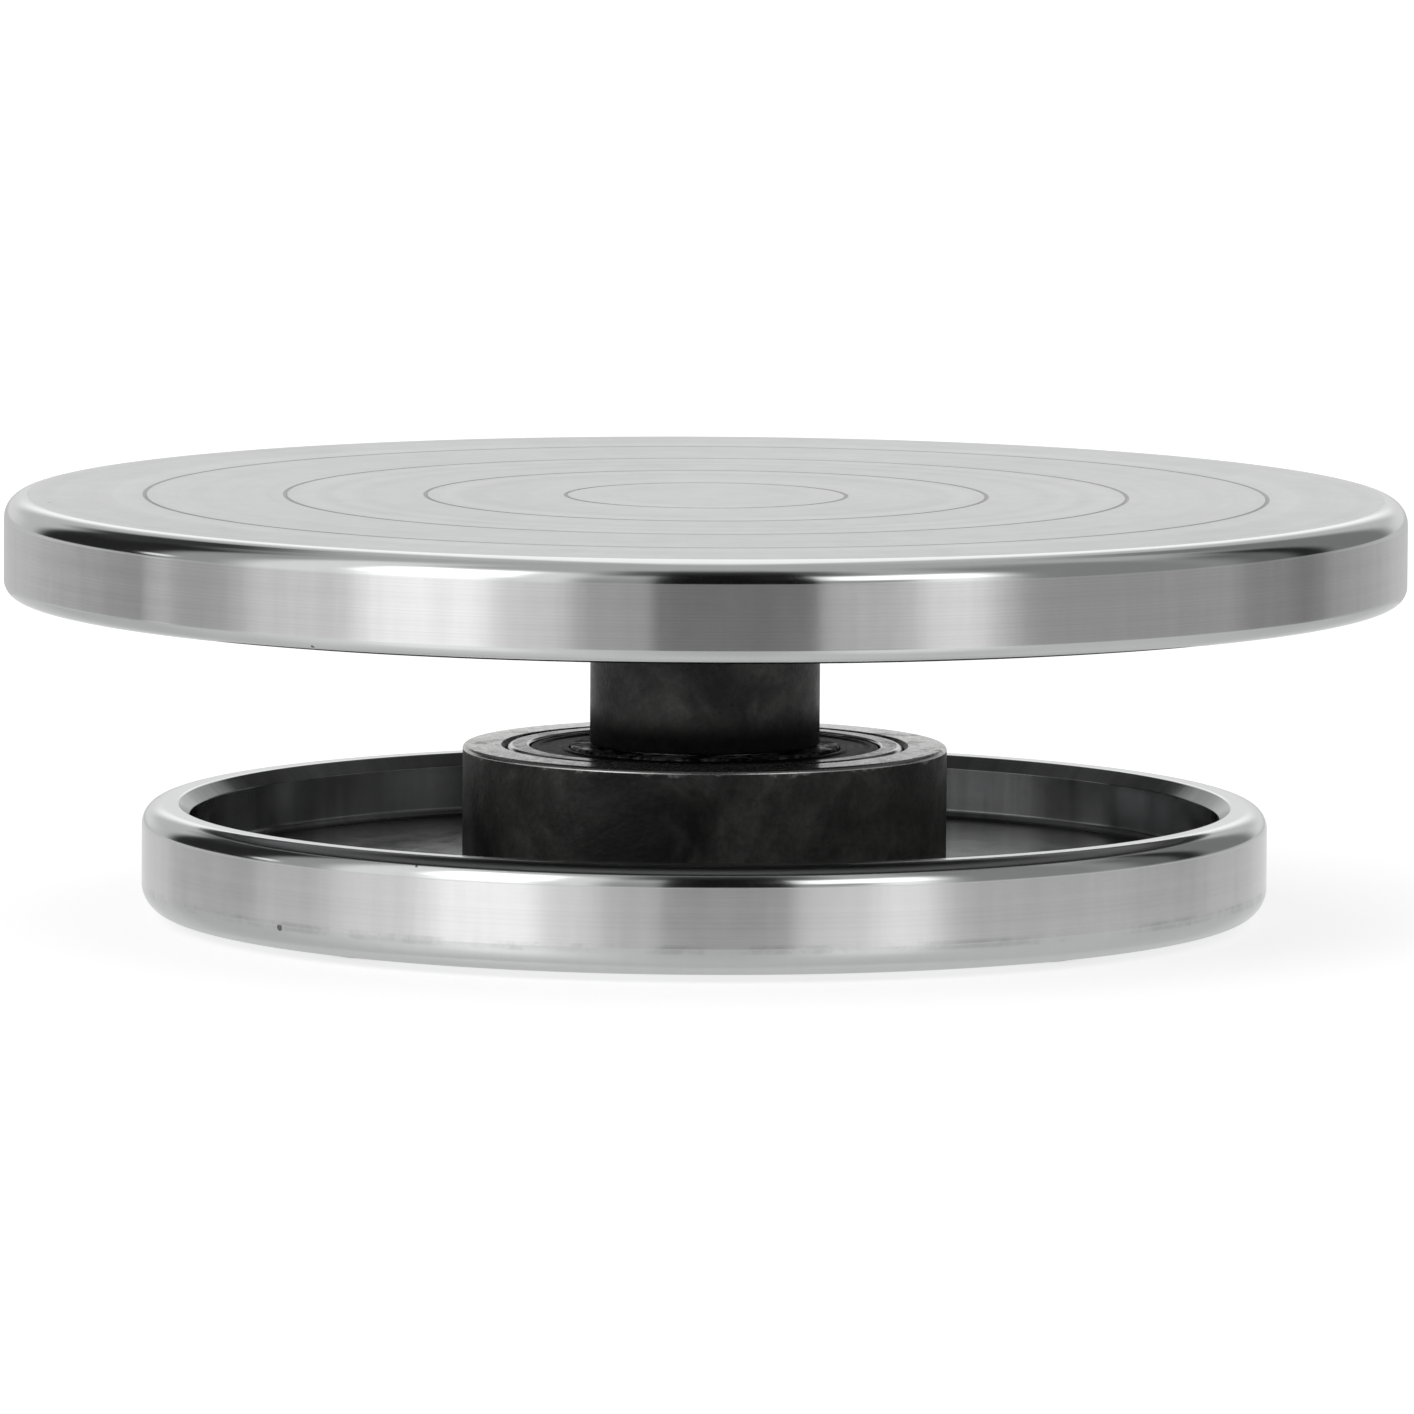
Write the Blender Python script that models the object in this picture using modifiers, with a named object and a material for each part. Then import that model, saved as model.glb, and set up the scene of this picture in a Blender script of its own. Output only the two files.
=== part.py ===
"""Cake turntable: a turned disc on a spindle that runs in a sealed ball bearing on a dished base.

Every piece is its own object. Lengths are metres, +Z is up, the turning axis is Z and the
feet stand on z = 0.
"""

import math

import bmesh
import bpy
from mathutils import Matrix, Vector

# ---------------------------------------------------------------- driving dimensions
GAP = 0.0003                    # between two pieces that touch
RUNNING_GAP = 0.0003            # between two pieces that turn past each other

DISC_DIAMETER = 0.300
DISC_RIM_HEIGHT = 0.0213
DISC_RIM_WALL = 0.007
DISC_PLATE = 0.007
DISC_TOP_ROUND = 0.0049
DISC_BOTTOM_ROUND = 0.0025
DISC_INNER_ROUND = 0.004
DISC_BOSS_HEIGHT = 0.005
DISC_BOSS_MARGIN = 0.003        # how far the boss reaches past the spindle flange

GUIDE_RING_STEP = 0.030         # as many rings as fit, this far apart
GUIDE_RING_WIDTH = 0.0009
GUIDE_RING_DEPTH = 0.0005

FLANGE_DIAMETER = 0.110
FLANGE_THICKNESS = 0.008
FLANGE_BEVEL = 0.0008
NECK_SHOULDER = 0.0021          # how far the neck reaches over the inner race, past its bore
NECK_LENGTH = 0.033
NECK_FILLET = 0.004
TAPPED_DEPTH = 0.026            # bolt hole up the spindle
SHANK_SHORTFALL = 0.0005        # the shank ends inside the race, so the washer grips the race

BEARING_BORE = 0.045
BEARING_OUTSIDE = 0.085
BEARING_BEVEL = 0.0011
INNER_SHOULDER_STEP = 0.0037    # from the circle of the balls' centres, inwards
OUTER_SHOULDER_STEP = 0.0051    # from the same circle, outwards
BALL_DIAMETER = 0.0127
BALL_COUNT = 9
SEAL_THICKNESS = 0.0012
SEAL_RECESS = 0.0005
CAGE_INNER_STEP = 0.0019        # from the circle of the balls' centres, inwards
CAGE_OUTER_STEP = 0.0021        # from the same circle, outwards
CAGE_SHEET = 0.0006
CAGE_SEAL_CLEARANCE = 0.00055
RIVET_DIAMETER = 0.0016
RIVET_HEAD_DIAMETER = 0.003
RIVET_HEAD = 0.0006

HOUSING_WALL = 0.00905
HOUSING_BEVEL = 0.0009
HOUSING_LEDGE = 0.0035          # radial width of the ledge under the outer race
HOUSING_LEDGE_THICKNESS = 0.0064

BASE_DIAMETER = 0.241
BASE_RIM_HEIGHT = 0.0231
BASE_WALL = 0.0103
BASE_FLOOR = 0.0097
BASE_TOP_ROUND = 0.0045
BASE_BOTTOM_ROUND = 0.006
BASE_INNER_BEVEL = 0.0026
BASE_FLOOR_ROUND = 0.0018
BASE_ACCESS_DIAMETER = 0.034    # hole under the retaining bolt

FOOT_DIAMETER = 0.024
FOOT_STANDOFF = 0.0015
FOOT_POCKET = 0.002
FOOT_INSET = 0.0255             # from the base's edge to a foot's middle
FOOT_COUNT = 4
FOOT_BEVEL = 0.0006
FOOT_SCREW_DIAMETER = 0.004
FOOT_SCREW_HEAD_DIAMETER = 0.0076
FOOT_SCREW_HEAD = 0.0013
FOOT_SCREW_LENGTH = 0.0055
FOOT_SCREW_SINK = 0.002         # depth of the recess for the screw head

DISC_SCREW_DIAMETER = 0.006
DISC_SCREW_LENGTH = 0.016
DISC_SCREW_INSET = 0.014        # from the flange's edge to a screw's middle
DISC_SCREW_COUNT = 4
HOUSING_SCREW_DIAMETER = 0.005
HOUSING_SCREW_LENGTH = 0.014
HOUSING_SCREW_INSET = 0.0046    # from the housing's edge to a screw's middle
HOUSING_SCREW_COUNT = 4
HOUSING_SCREW_SINK = 0.0056

RETAINING_WASHER_GRIP = 0.0045  # how far the washer reaches under the inner race, past its bore
RETAINING_WASHER_THICKNESS = 0.004
LOCK_WASHER_DIAMETER = 0.021
LOCK_WASHER_THICKNESS = 0.0025
LOCK_WASHER_SPLIT = 0.0015
BOLT_DIAMETER = 0.012
BOLT_LENGTH = 0.028
BOLT_ACROSS_FLATS = 0.018
BOLT_HEAD = 0.0075

# A socket screw's head and key hole, as shares of its thread diameter (metric series).
SOCKET_HEAD_DIAMETER_RATIO = 1.6
SOCKET_HEAD_HEIGHT_RATIO = 1.0
SOCKET_KEY_RATIO = 0.82
SOCKET_DEPTH_RATIO = 0.5

# Facets round each kind of turned piece.
LARGE_FACETS = 56
MEDIUM_FACETS = 36
SMALL_FACETS = 20
SCREW_FACETS = 12
RIVET_FACETS = 6
BALL_RINGS = 6
ROUND_STEPS = 3
GROOVE_STEPS = 4
CUT_MARGIN = 0.002              # how far a cutter reaches past the surface it cuts

# ---------------------------------------------------------------- sizes that follow what they fit
GUIDE_RING_REACH = DISC_DIAMETER / 2 - DISC_TOP_ROUND - GUIDE_RING_WIDTH
GUIDE_RING_COUNT = math.floor(GUIDE_RING_REACH / GUIDE_RING_STEP)
BALL_PITCH_DIAMETER = (BEARING_BORE + BEARING_OUTSIDE) / 2
INNER_SHOULDER_DIAMETER = BALL_PITCH_DIAMETER - 2 * INNER_SHOULDER_STEP
OUTER_SHOULDER_DIAMETER = BALL_PITCH_DIAMETER + 2 * OUTER_SHOULDER_STEP
CAGE_INNER_DIAMETER = BALL_PITCH_DIAMETER - 2 * CAGE_INNER_STEP
CAGE_OUTER_DIAMETER = BALL_PITCH_DIAMETER + 2 * CAGE_OUTER_STEP
BEARING_SIDE = RUNNING_GAP + CAGE_SHEET + CAGE_SEAL_CLEARANCE + SEAL_THICKNESS + SEAL_RECESS
BEARING_WIDTH = BALL_DIAMETER + 2 * BEARING_SIDE
NECK_DIAMETER = BEARING_BORE + 2 * NECK_SHOULDER
RETAINING_WASHER_DIAMETER = BEARING_BORE + 2 * RETAINING_WASHER_GRIP
HOUSING_DIAMETER = BEARING_OUTSIDE + 2 * (GAP + HOUSING_WALL)
HOUSING_HEIGHT = BEARING_WIDTH + GAP + HOUSING_LEDGE_THICKNESS
DISC_SCREW_CIRCLE_DIAMETER = FLANGE_DIAMETER - 2 * DISC_SCREW_INSET
HOUSING_SCREW_CIRCLE_DIAMETER = HOUSING_DIAMETER - 2 * HOUSING_SCREW_INSET
FOOT_CIRCLE_DIAMETER = BASE_DIAMETER - 2 * FOOT_INSET

# ---------------------------------------------------------------- levels on the turning axis
BASE_BOTTOM = FOOT_STANDOFF
BASE_FLOOR_TOP = BASE_BOTTOM + BASE_FLOOR
BASE_RIM_TOP = BASE_BOTTOM + BASE_RIM_HEIGHT
HOUSING_BOTTOM = BASE_FLOOR_TOP + GAP
HOUSING_TOP = HOUSING_BOTTOM + HOUSING_HEIGHT
BEARING_TOP = HOUSING_TOP
BEARING_BOTTOM = BEARING_TOP - BEARING_WIDTH
BEARING_MIDDLE = (BEARING_TOP + BEARING_BOTTOM) / 2
LEDGE_TOP = BEARING_BOTTOM - GAP
NECK_BOTTOM = BEARING_TOP + GAP
FLANGE_BOTTOM = NECK_BOTTOM + NECK_LENGTH
FLANGE_TOP = FLANGE_BOTTOM + FLANGE_THICKNESS
DISC_BOSS_BOTTOM = FLANGE_TOP + GAP
DISC_PLATE_BOTTOM = DISC_BOSS_BOTTOM + DISC_BOSS_HEIGHT
DISC_TOP = DISC_PLATE_BOTTOM + DISC_PLATE
DISC_RIM_BOTTOM = DISC_TOP - DISC_RIM_HEIGHT
SHANK_BOTTOM = BEARING_BOTTOM + SHANK_SHORTFALL
RETAINING_WASHER_TOP = BEARING_BOTTOM - GAP
LOCK_WASHER_TOP = RETAINING_WASHER_TOP - RETAINING_WASHER_THICKNESS - GAP
BOLT_SEAT = LOCK_WASHER_TOP - LOCK_WASHER_THICKNESS - GAP
FOOT_TOP = BASE_BOTTOM + FOOT_POCKET - GAP

# ---------------------------------------------------------------- radii shared by mating pieces
SHANK_RADIUS = BEARING_BORE / 2 - GAP
HOUSING_BORE_RADIUS = BEARING_OUTSIDE / 2 + GAP
LEDGE_RADIUS = HOUSING_BORE_RADIUS - HOUSING_LEDGE
BALL_RADIUS = BALL_DIAMETER / 2
BALL_PITCH_RADIUS = BALL_PITCH_DIAMETER / 2
RACE_GROOVE_RADIUS = BALL_RADIUS + RUNNING_GAP
POCKET_RADIUS = BALL_RADIUS + RUNNING_GAP


# ---------------------------------------------------------------- scene and materials
def clear_scene():
    for item in list(bpy.data.objects):
        bpy.data.objects.remove(item, do_unlink=True)


def new_collection(name):
    collection = bpy.data.collections.new(name)
    bpy.context.scene.collection.children.link(collection)
    return collection


def new_material(name, colour, roughness, metallic):
    material = bpy.data.materials.new(name)
    material.use_nodes = True
    shader = material.node_tree.nodes["Principled BSDF"]
    shader.inputs["Base Color"].default_value = (*colour, 1.0)
    shader.inputs["Roughness"].default_value = roughness
    shader.inputs["Metallic"].default_value = metallic
    material.diffuse_color = (*colour, 1.0)
    return material


FINISHES = {
    "satin_aluminium": ((0.76, 0.77, 0.77), 0.34, 1.0),
    "polished_aluminium": ((0.72, 0.73, 0.74), 0.22, 1.0),
    "black_cast_steel": ((0.018, 0.019, 0.020), 0.42, 0.6),
    "ground_bearing_steel": ((0.62, 0.63, 0.64), 0.25, 1.0),
    "polished_ball_steel": ((0.78, 0.79, 0.80), 0.08, 1.0),
    "pressed_cage_steel": ((0.55, 0.55, 0.56), 0.38, 1.0),
    "black_seal_rubber": ((0.015, 0.015, 0.016), 0.62, 0.0),
    "black_foot_rubber": ((0.020, 0.020, 0.021), 0.80, 0.0),
    "zinc_plated_steel": ((0.56, 0.57, 0.58), 0.30, 1.0),
    "black_oxide_screw": ((0.030, 0.030, 0.032), 0.40, 0.8),
}


def make_materials():
    materials = {}
    for name, (colour, roughness, metallic) in FINISHES.items():
        materials[name] = new_material(name, colour, roughness, metallic)
    return materials


# ---------------------------------------------------------------- shape helpers
def arc(centre_r, centre_z, radius, start_deg, end_deg, steps):
    """Points (r, z) along an arc, both ends included."""
    points = []
    for i in range(steps + 1):
        angle = math.radians(start_deg + (end_deg - start_deg) * i / steps)
        points.append((centre_r + radius * math.cos(angle), centre_z + radius * math.sin(angle)))
    return points


def place(name, mesh, collection, material, location=(0, 0, 0)):
    item = bpy.data.objects.new(name, mesh)
    item.location = location
    collection.objects.link(item)
    if material is not None and not mesh.materials:
        mesh.materials.append(material)
    return item


def apply_modifiers(item):
    """Replace the object's mesh with its evaluated shape, smooth between its hard edges."""
    depsgraph = bpy.context.evaluated_depsgraph_get()
    mesh = bpy.data.meshes.new_from_object(item.evaluated_get(depsgraph))
    mesh.name = item.name
    item.modifiers.clear()
    item.data = mesh
    mesh.shade_smooth()
    mesh.set_sharp_from_angle(angle=math.radians(32))
    return item


def turned(name, profile, facets, collection, material=None, location=(0, 0, 0)):
    """Turn a profile of (r, z) points about Z.

    The points run down the outer side and back up the inner side. A profile that starts and
    ends on the axis stays open there, and any other is closed into a ring.
    """
    mesh = bpy.data.meshes.new(name)
    build = bmesh.new()
    corners = [build.verts.new((r, 0.0, z)) for r, z in profile]
    for first, second in zip(corners, corners[1:]):
        build.edges.new((first, second))
    if profile[0][0] > 0 or profile[-1][0] > 0:
        build.edges.new((corners[-1], corners[0]))
    build.to_mesh(mesh)
    build.free()
    item = place(name, mesh, collection, material, location)
    screw = item.modifiers.new("turn", "SCREW")
    screw.steps = facets
    screw.render_steps = facets
    screw.use_merge_vertices = True
    screw.merge_threshold = 0.00001
    screw.use_smooth_shade = True
    return apply_modifiers(item)


def prism(name, sides, radius, bottom, top, collection, material=None):
    """An upright prism with flats, given by the radius to its corners."""
    mesh = bpy.data.meshes.new(name)
    build = bmesh.new()
    bmesh.ops.create_cone(build, cap_ends=True, segments=sides, radius1=radius, radius2=radius,
                          depth=top - bottom)
    bmesh.ops.translate(build, verts=build.verts, vec=(0, 0, (top + bottom) / 2))
    build.to_mesh(mesh)
    build.free()
    return place(name, mesh, collection, material)


def ring_positions(count, circle_diameter, start_deg=0.0):
    """Places evenly spaced round the turning axis."""
    places = []
    for i in range(count):
        angle = math.radians(start_deg + 360.0 * i / count)
        radius = circle_diameter / 2
        places.append(Vector((radius * math.cos(angle), radius * math.sin(angle), 0.0)))
    return places


def hide_cutter(item):
    item.hide_render = True
    item.display_type = "WIRE"
    return item


def cutter_group(name, source, places, cutters):
    """One cutter object that holds a copy of the source mesh at each place."""
    build = bmesh.new()
    for spot in places:
        before = len(build.verts)
        build.from_mesh(source.data)
        build.verts.ensure_lookup_table()
        bmesh.ops.translate(build, verts=build.verts[before:], vec=spot)
    mesh = bpy.data.meshes.new(name)
    build.to_mesh(mesh)
    build.free()
    bpy.data.objects.remove(source, do_unlink=True)
    return hide_cutter(place(name, mesh, cutters, None))


def boolean(item, tool, operation="DIFFERENCE"):
    modifier = item.modifiers.new(operation.lower(), "BOOLEAN")
    modifier.operation = operation
    modifier.solver = "EXACT"
    modifier.object = tool
    return apply_modifiers(item)


# ---------------------------------------------------------------- turning disc
def disc_profile():
    outer = DISC_DIAMETER / 2
    inner = outer - DISC_RIM_WALL
    boss = FLANGE_DIAMETER / 2 + DISC_BOSS_MARGIN
    points = [(0.0, DISC_TOP)]
    for ring in range(1, GUIDE_RING_COUNT + 1):
        radius = ring * GUIDE_RING_STEP
        points.append((radius - GUIDE_RING_WIDTH / 2, DISC_TOP))
        points.append((radius, DISC_TOP - GUIDE_RING_DEPTH))
        points.append((radius + GUIDE_RING_WIDTH / 2, DISC_TOP))
    points += arc(outer - DISC_TOP_ROUND, DISC_TOP - DISC_TOP_ROUND, DISC_TOP_ROUND, 90, 0, ROUND_STEPS + 1)
    points += arc(outer - DISC_BOTTOM_ROUND, DISC_RIM_BOTTOM + DISC_BOTTOM_ROUND, DISC_BOTTOM_ROUND,
                  0, -90, ROUND_STEPS)
    points.append((inner, DISC_RIM_BOTTOM))
    points += arc(inner - DISC_INNER_ROUND, DISC_PLATE_BOTTOM - DISC_INNER_ROUND, DISC_INNER_ROUND,
                  0, 90, ROUND_STEPS)
    points.append((boss, DISC_PLATE_BOTTOM))
    points.append((boss, DISC_BOSS_BOTTOM))
    points.append((0.0, DISC_BOSS_BOTTOM))
    return points


def make_disc(parts, cutters, materials):
    """Turned disc with guide rings on top, open below, with a boss for the spindle flange."""
    disc = turned("turntable_disc", disc_profile(), LARGE_FACETS, parts, materials["satin_aluminium"])
    hole_radius = DISC_SCREW_DIAMETER / 2 + GAP
    reach = DISC_SCREW_LENGTH - FLANGE_THICKNESS - GAP
    hole = turned("tapped_hole", [(0, DISC_BOSS_BOTTOM + reach), (hole_radius, DISC_BOSS_BOTTOM + reach),
                                  (hole_radius, DISC_BOSS_BOTTOM - CUT_MARGIN),
                                  (0, DISC_BOSS_BOTTOM - CUT_MARGIN)], SCREW_FACETS, cutters)
    places = ring_positions(DISC_SCREW_COUNT, DISC_SCREW_CIRCLE_DIAMETER, 45)
    boolean(disc, cutter_group("disc_tapped_holes", hole, places, cutters))


# ---------------------------------------------------------------- spindle
def spindle_profile():
    flange = FLANGE_DIAMETER / 2
    neck = NECK_DIAMETER / 2
    bolt_hole = BOLT_DIAMETER / 2 + GAP
    points = [(0.0, FLANGE_TOP)]
    points.append((flange - FLANGE_BEVEL, FLANGE_TOP))
    points.append((flange, FLANGE_TOP - FLANGE_BEVEL))
    points.append((flange, FLANGE_BOTTOM + FLANGE_BEVEL))
    points.append((flange - FLANGE_BEVEL, FLANGE_BOTTOM))
    points += arc(neck + NECK_FILLET, FLANGE_BOTTOM - NECK_FILLET, NECK_FILLET, 90, 180, ROUND_STEPS)
    points.append((neck, NECK_BOTTOM))
    points.append((SHANK_RADIUS, NECK_BOTTOM))
    points.append((SHANK_RADIUS, SHANK_BOTTOM))
    points.append((bolt_hole, SHANK_BOTTOM))
    points.append((bolt_hole, SHANK_BOTTOM + TAPPED_DEPTH))
    points.append((0.0, SHANK_BOTTOM + TAPPED_DEPTH))
    return points


def make_spindle(parts, cutters, materials):
    """Black neck with a flange under the disc and a shank through the bearing."""
    spindle = turned("spindle", spindle_profile(), MEDIUM_FACETS, parts, materials["black_cast_steel"])
    hole_radius = DISC_SCREW_DIAMETER / 2 + GAP
    top = FLANGE_TOP + CUT_MARGIN
    bottom = FLANGE_BOTTOM - CUT_MARGIN
    hole = turned("flange_hole", [(0, top), (hole_radius, top), (hole_radius, bottom), (0, bottom)],
                  SCREW_FACETS, cutters)
    places = ring_positions(DISC_SCREW_COUNT, DISC_SCREW_CIRCLE_DIAMETER, 45)
    boolean(spindle, cutter_group("flange_holes", hole, places, cutters))


# ---------------------------------------------------------------- screws
def socket_screw_mesh(name, diameter, length, parts, cutters, material):
    """Socket head screw, head down, with the seat of its head at its own origin."""
    shank = diameter / 2
    head = diameter * SOCKET_HEAD_DIAMETER_RATIO / 2
    head_height = diameter * SOCKET_HEAD_HEIGHT_RATIO
    bevel = diameter * 0.08
    profile = [(0, length), (shank - bevel, length), (shank, length - bevel), (shank, 0), (head, 0),
               (head, -head_height + bevel), (head - bevel, -head_height), (0, -head_height)]
    screw = turned(name, profile, SCREW_FACETS, parts, material)
    key_radius = diameter * SOCKET_KEY_RATIO / math.sqrt(3)
    key = prism(name + "_key", 6, key_radius, -head_height - CUT_MARGIN,
                -head_height + diameter * SOCKET_DEPTH_RATIO, cutters)
    boolean(screw, hide_cutter(key))
    mesh = screw.data
    bpy.data.objects.remove(screw, do_unlink=True)
    return mesh


def make_disc_screws(parts, cutters, materials):
    mesh = socket_screw_mesh("disc_screw", DISC_SCREW_DIAMETER, DISC_SCREW_LENGTH - GAP, parts, cutters,
                             materials["black_oxide_screw"])
    places = ring_positions(DISC_SCREW_COUNT, DISC_SCREW_CIRCLE_DIAMETER, 45)
    for number, spot in enumerate(places, start=1):
        seat = spot + Vector((0, 0, FLANGE_BOTTOM - GAP))
        place(f"disc_screw_{number}", mesh, parts, None, seat)


def make_housing_screws(parts, cutters, materials):
    mesh = socket_screw_mesh("housing_screw", HOUSING_SCREW_DIAMETER, HOUSING_SCREW_LENGTH, parts,
                             cutters, materials["black_oxide_screw"])
    places = ring_positions(HOUSING_SCREW_COUNT, HOUSING_SCREW_CIRCLE_DIAMETER, 0)
    for number, spot in enumerate(places, start=1):
        seat = spot + Vector((0, 0, BASE_BOTTOM + HOUSING_SCREW_SINK - GAP))
        place(f"housing_screw_{number}", mesh, parts, None, seat)


# ---------------------------------------------------------------- ball bearing
def race_groove(first_r, last_r):
    """Half angles at which the ball groove meets a race's shoulder, from the pitch circle."""
    return math.degrees(math.acos((first_r - last_r) / RACE_GROOVE_RADIUS))


def inner_race_profile():
    top = BEARING_TOP
    bottom = BEARING_BOTTOM
    bore = BEARING_BORE / 2
    shoulder = INNER_SHOULDER_DIAMETER / 2
    half = race_groove(BALL_PITCH_RADIUS, shoulder)
    bevel = BEARING_BEVEL / 2
    points = [(shoulder - bevel, top), (shoulder, top - bevel)]
    points += arc(BALL_PITCH_RADIUS, BEARING_MIDDLE, RACE_GROOVE_RADIUS, 180 - half, 180 + half, GROOVE_STEPS)
    points += [(shoulder, bottom + bevel), (shoulder - bevel, bottom), (bore, bottom), (bore, top)]
    return points


def outer_race_profile():
    top = BEARING_TOP
    bottom = BEARING_BOTTOM
    outside = BEARING_OUTSIDE / 2
    shoulder = OUTER_SHOULDER_DIAMETER / 2
    half = race_groove(shoulder, BALL_PITCH_RADIUS)
    points = [(outside - BEARING_BEVEL, top), (outside, top - BEARING_BEVEL)]
    points += [(outside, bottom + BEARING_BEVEL), (outside - BEARING_BEVEL, bottom), (shoulder, bottom)]
    points += arc(BALL_PITCH_RADIUS, BEARING_MIDDLE, RACE_GROOVE_RADIUS, -half, half, GROOVE_STEPS)
    points.append((shoulder, top))
    return points


def seal_profile(top):
    inner = INNER_SHOULDER_DIAMETER / 2 + RUNNING_GAP
    outer = OUTER_SHOULDER_DIAMETER / 2 - GAP
    bottom = top - SEAL_THICKNESS
    return [(outer, top), (outer, bottom), (inner, bottom), (inner, top)]


def make_races_and_seals(parts, materials):
    steel = materials["ground_bearing_steel"]
    rubber = materials["black_seal_rubber"]
    turned("inner_race", inner_race_profile(), MEDIUM_FACETS, parts, steel)
    turned("outer_race", outer_race_profile(), MEDIUM_FACETS, parts, steel)
    turned("upper_seal", seal_profile(BEARING_TOP - SEAL_RECESS), MEDIUM_FACETS, parts, rubber)
    turned("lower_seal", seal_profile(BEARING_BOTTOM + SEAL_RECESS + SEAL_THICKNESS), MEDIUM_FACETS,
           parts, rubber)


def make_balls(parts, materials):
    mesh = bpy.data.meshes.new("ball")
    build = bmesh.new()
    bmesh.ops.create_uvsphere(build, u_segments=2 * BALL_RINGS, v_segments=BALL_RINGS, radius=BALL_RADIUS)
    build.to_mesh(mesh)
    build.free()
    mesh.shade_smooth()
    for number, spot in enumerate(ring_positions(BALL_COUNT, BALL_PITCH_DIAMETER), start=1):
        centre = spot + Vector((0, 0, BEARING_MIDDLE))
        place(f"ball_{number}", mesh, parts, materials["polished_ball_steel"], centre)


def radial_rods(name, radius, cutters):
    """Rods that point outwards through each ball, at the bearing's middle."""
    inner = CAGE_INNER_DIAMETER / 2 - CUT_MARGIN
    outer = CAGE_OUTER_DIAMETER / 2 + CUT_MARGIN
    build = bmesh.new()
    for number in range(BALL_COUNT):
        turn = Matrix.Rotation(math.radians(360.0 * number / BALL_COUNT), 4, "Z")
        lie = Matrix.Rotation(math.radians(90), 4, "Y")
        slide = Matrix.Translation(((inner + outer) / 2, 0, BEARING_MIDDLE))
        bmesh.ops.create_cone(build, cap_ends=True, segments=SCREW_FACETS, radius1=radius,
                              radius2=radius, depth=outer - inner, matrix=turn @ slide @ lie)
    mesh = bpy.data.meshes.new(name)
    build.to_mesh(mesh)
    build.free()
    return hide_cutter(place(name, mesh, cutters, None))


def make_cage_half(name, side, parts, cutters, material):
    """Pressed ring with a pocket over each ball; side is +1 for the upper half, -1 for the lower."""
    inner = CAGE_INNER_DIAMETER / 2
    outer = CAGE_OUTER_DIAMETER / 2
    seam = GAP / 2
    pocket_reach = POCKET_RADIUS + CAGE_SHEET

    def ring(start, end, spare):
        levels = sorted((BEARING_MIDDLE + side * start, BEARING_MIDDLE + side * end))
        rim = outer + spare
        eye = inner - spare
        return [(rim, levels[1]), (rim, levels[0]), (eye, levels[0]), (eye, levels[1])]

    half = turned(name, ring(-CUT_MARGIN / 2, seam + CAGE_SHEET, CUT_MARGIN / 2), MEDIUM_FACETS, parts, material)
    boolean(half, radial_rods(name + "_pocket_outsides", pocket_reach, cutters), "UNION")
    trim = turned(name + "_trim", ring(seam, pocket_reach + CUT_MARGIN, 0.0), MEDIUM_FACETS, cutters)
    boolean(half, hide_cutter(trim), "INTERSECT")
    boolean(half, radial_rods(name + "_pocket_insides", POCKET_RADIUS, cutters))
    hole_radius = RIVET_DIAMETER / 2 + GAP
    top = BEARING_MIDDLE + pocket_reach
    bottom = BEARING_MIDDLE - pocket_reach
    hole = turned(name + "_hole", [(0, top), (hole_radius, top), (hole_radius, bottom), (0, bottom)],
                  RIVET_FACETS, cutters)
    between_balls = ring_positions(BALL_COUNT, BALL_PITCH_DIAMETER, 180.0 / BALL_COUNT)
    boolean(half, cutter_group(name + "_rivet_holes", hole, between_balls, cutters))


def make_cage(parts, cutters, materials):
    steel = materials["pressed_cage_steel"]
    make_cage_half("upper_cage_half", 1, parts, cutters, steel)
    make_cage_half("lower_cage_half", -1, parts, cutters, steel)
    shank = RIVET_DIAMETER / 2
    head = RIVET_HEAD_DIAMETER / 2
    seat = GAP / 2 + CAGE_SHEET + GAP
    end = seat + RIVET_HEAD
    profile = [(0, end), (head, end), (head, seat), (shank, seat), (shank, -seat), (head, -seat),
               (head, -end), (0, -end)]
    first = turned("cage_rivet", profile, RIVET_FACETS, parts, steel)
    between_balls = ring_positions(BALL_COUNT, BALL_PITCH_DIAMETER, 180.0 / BALL_COUNT)
    for number, spot in enumerate(between_balls, start=1):
        place(f"cage_rivet_{number}", first.data, parts, None, spot + Vector((0, 0, BEARING_MIDDLE)))
    bpy.data.objects.remove(first, do_unlink=True)


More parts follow.
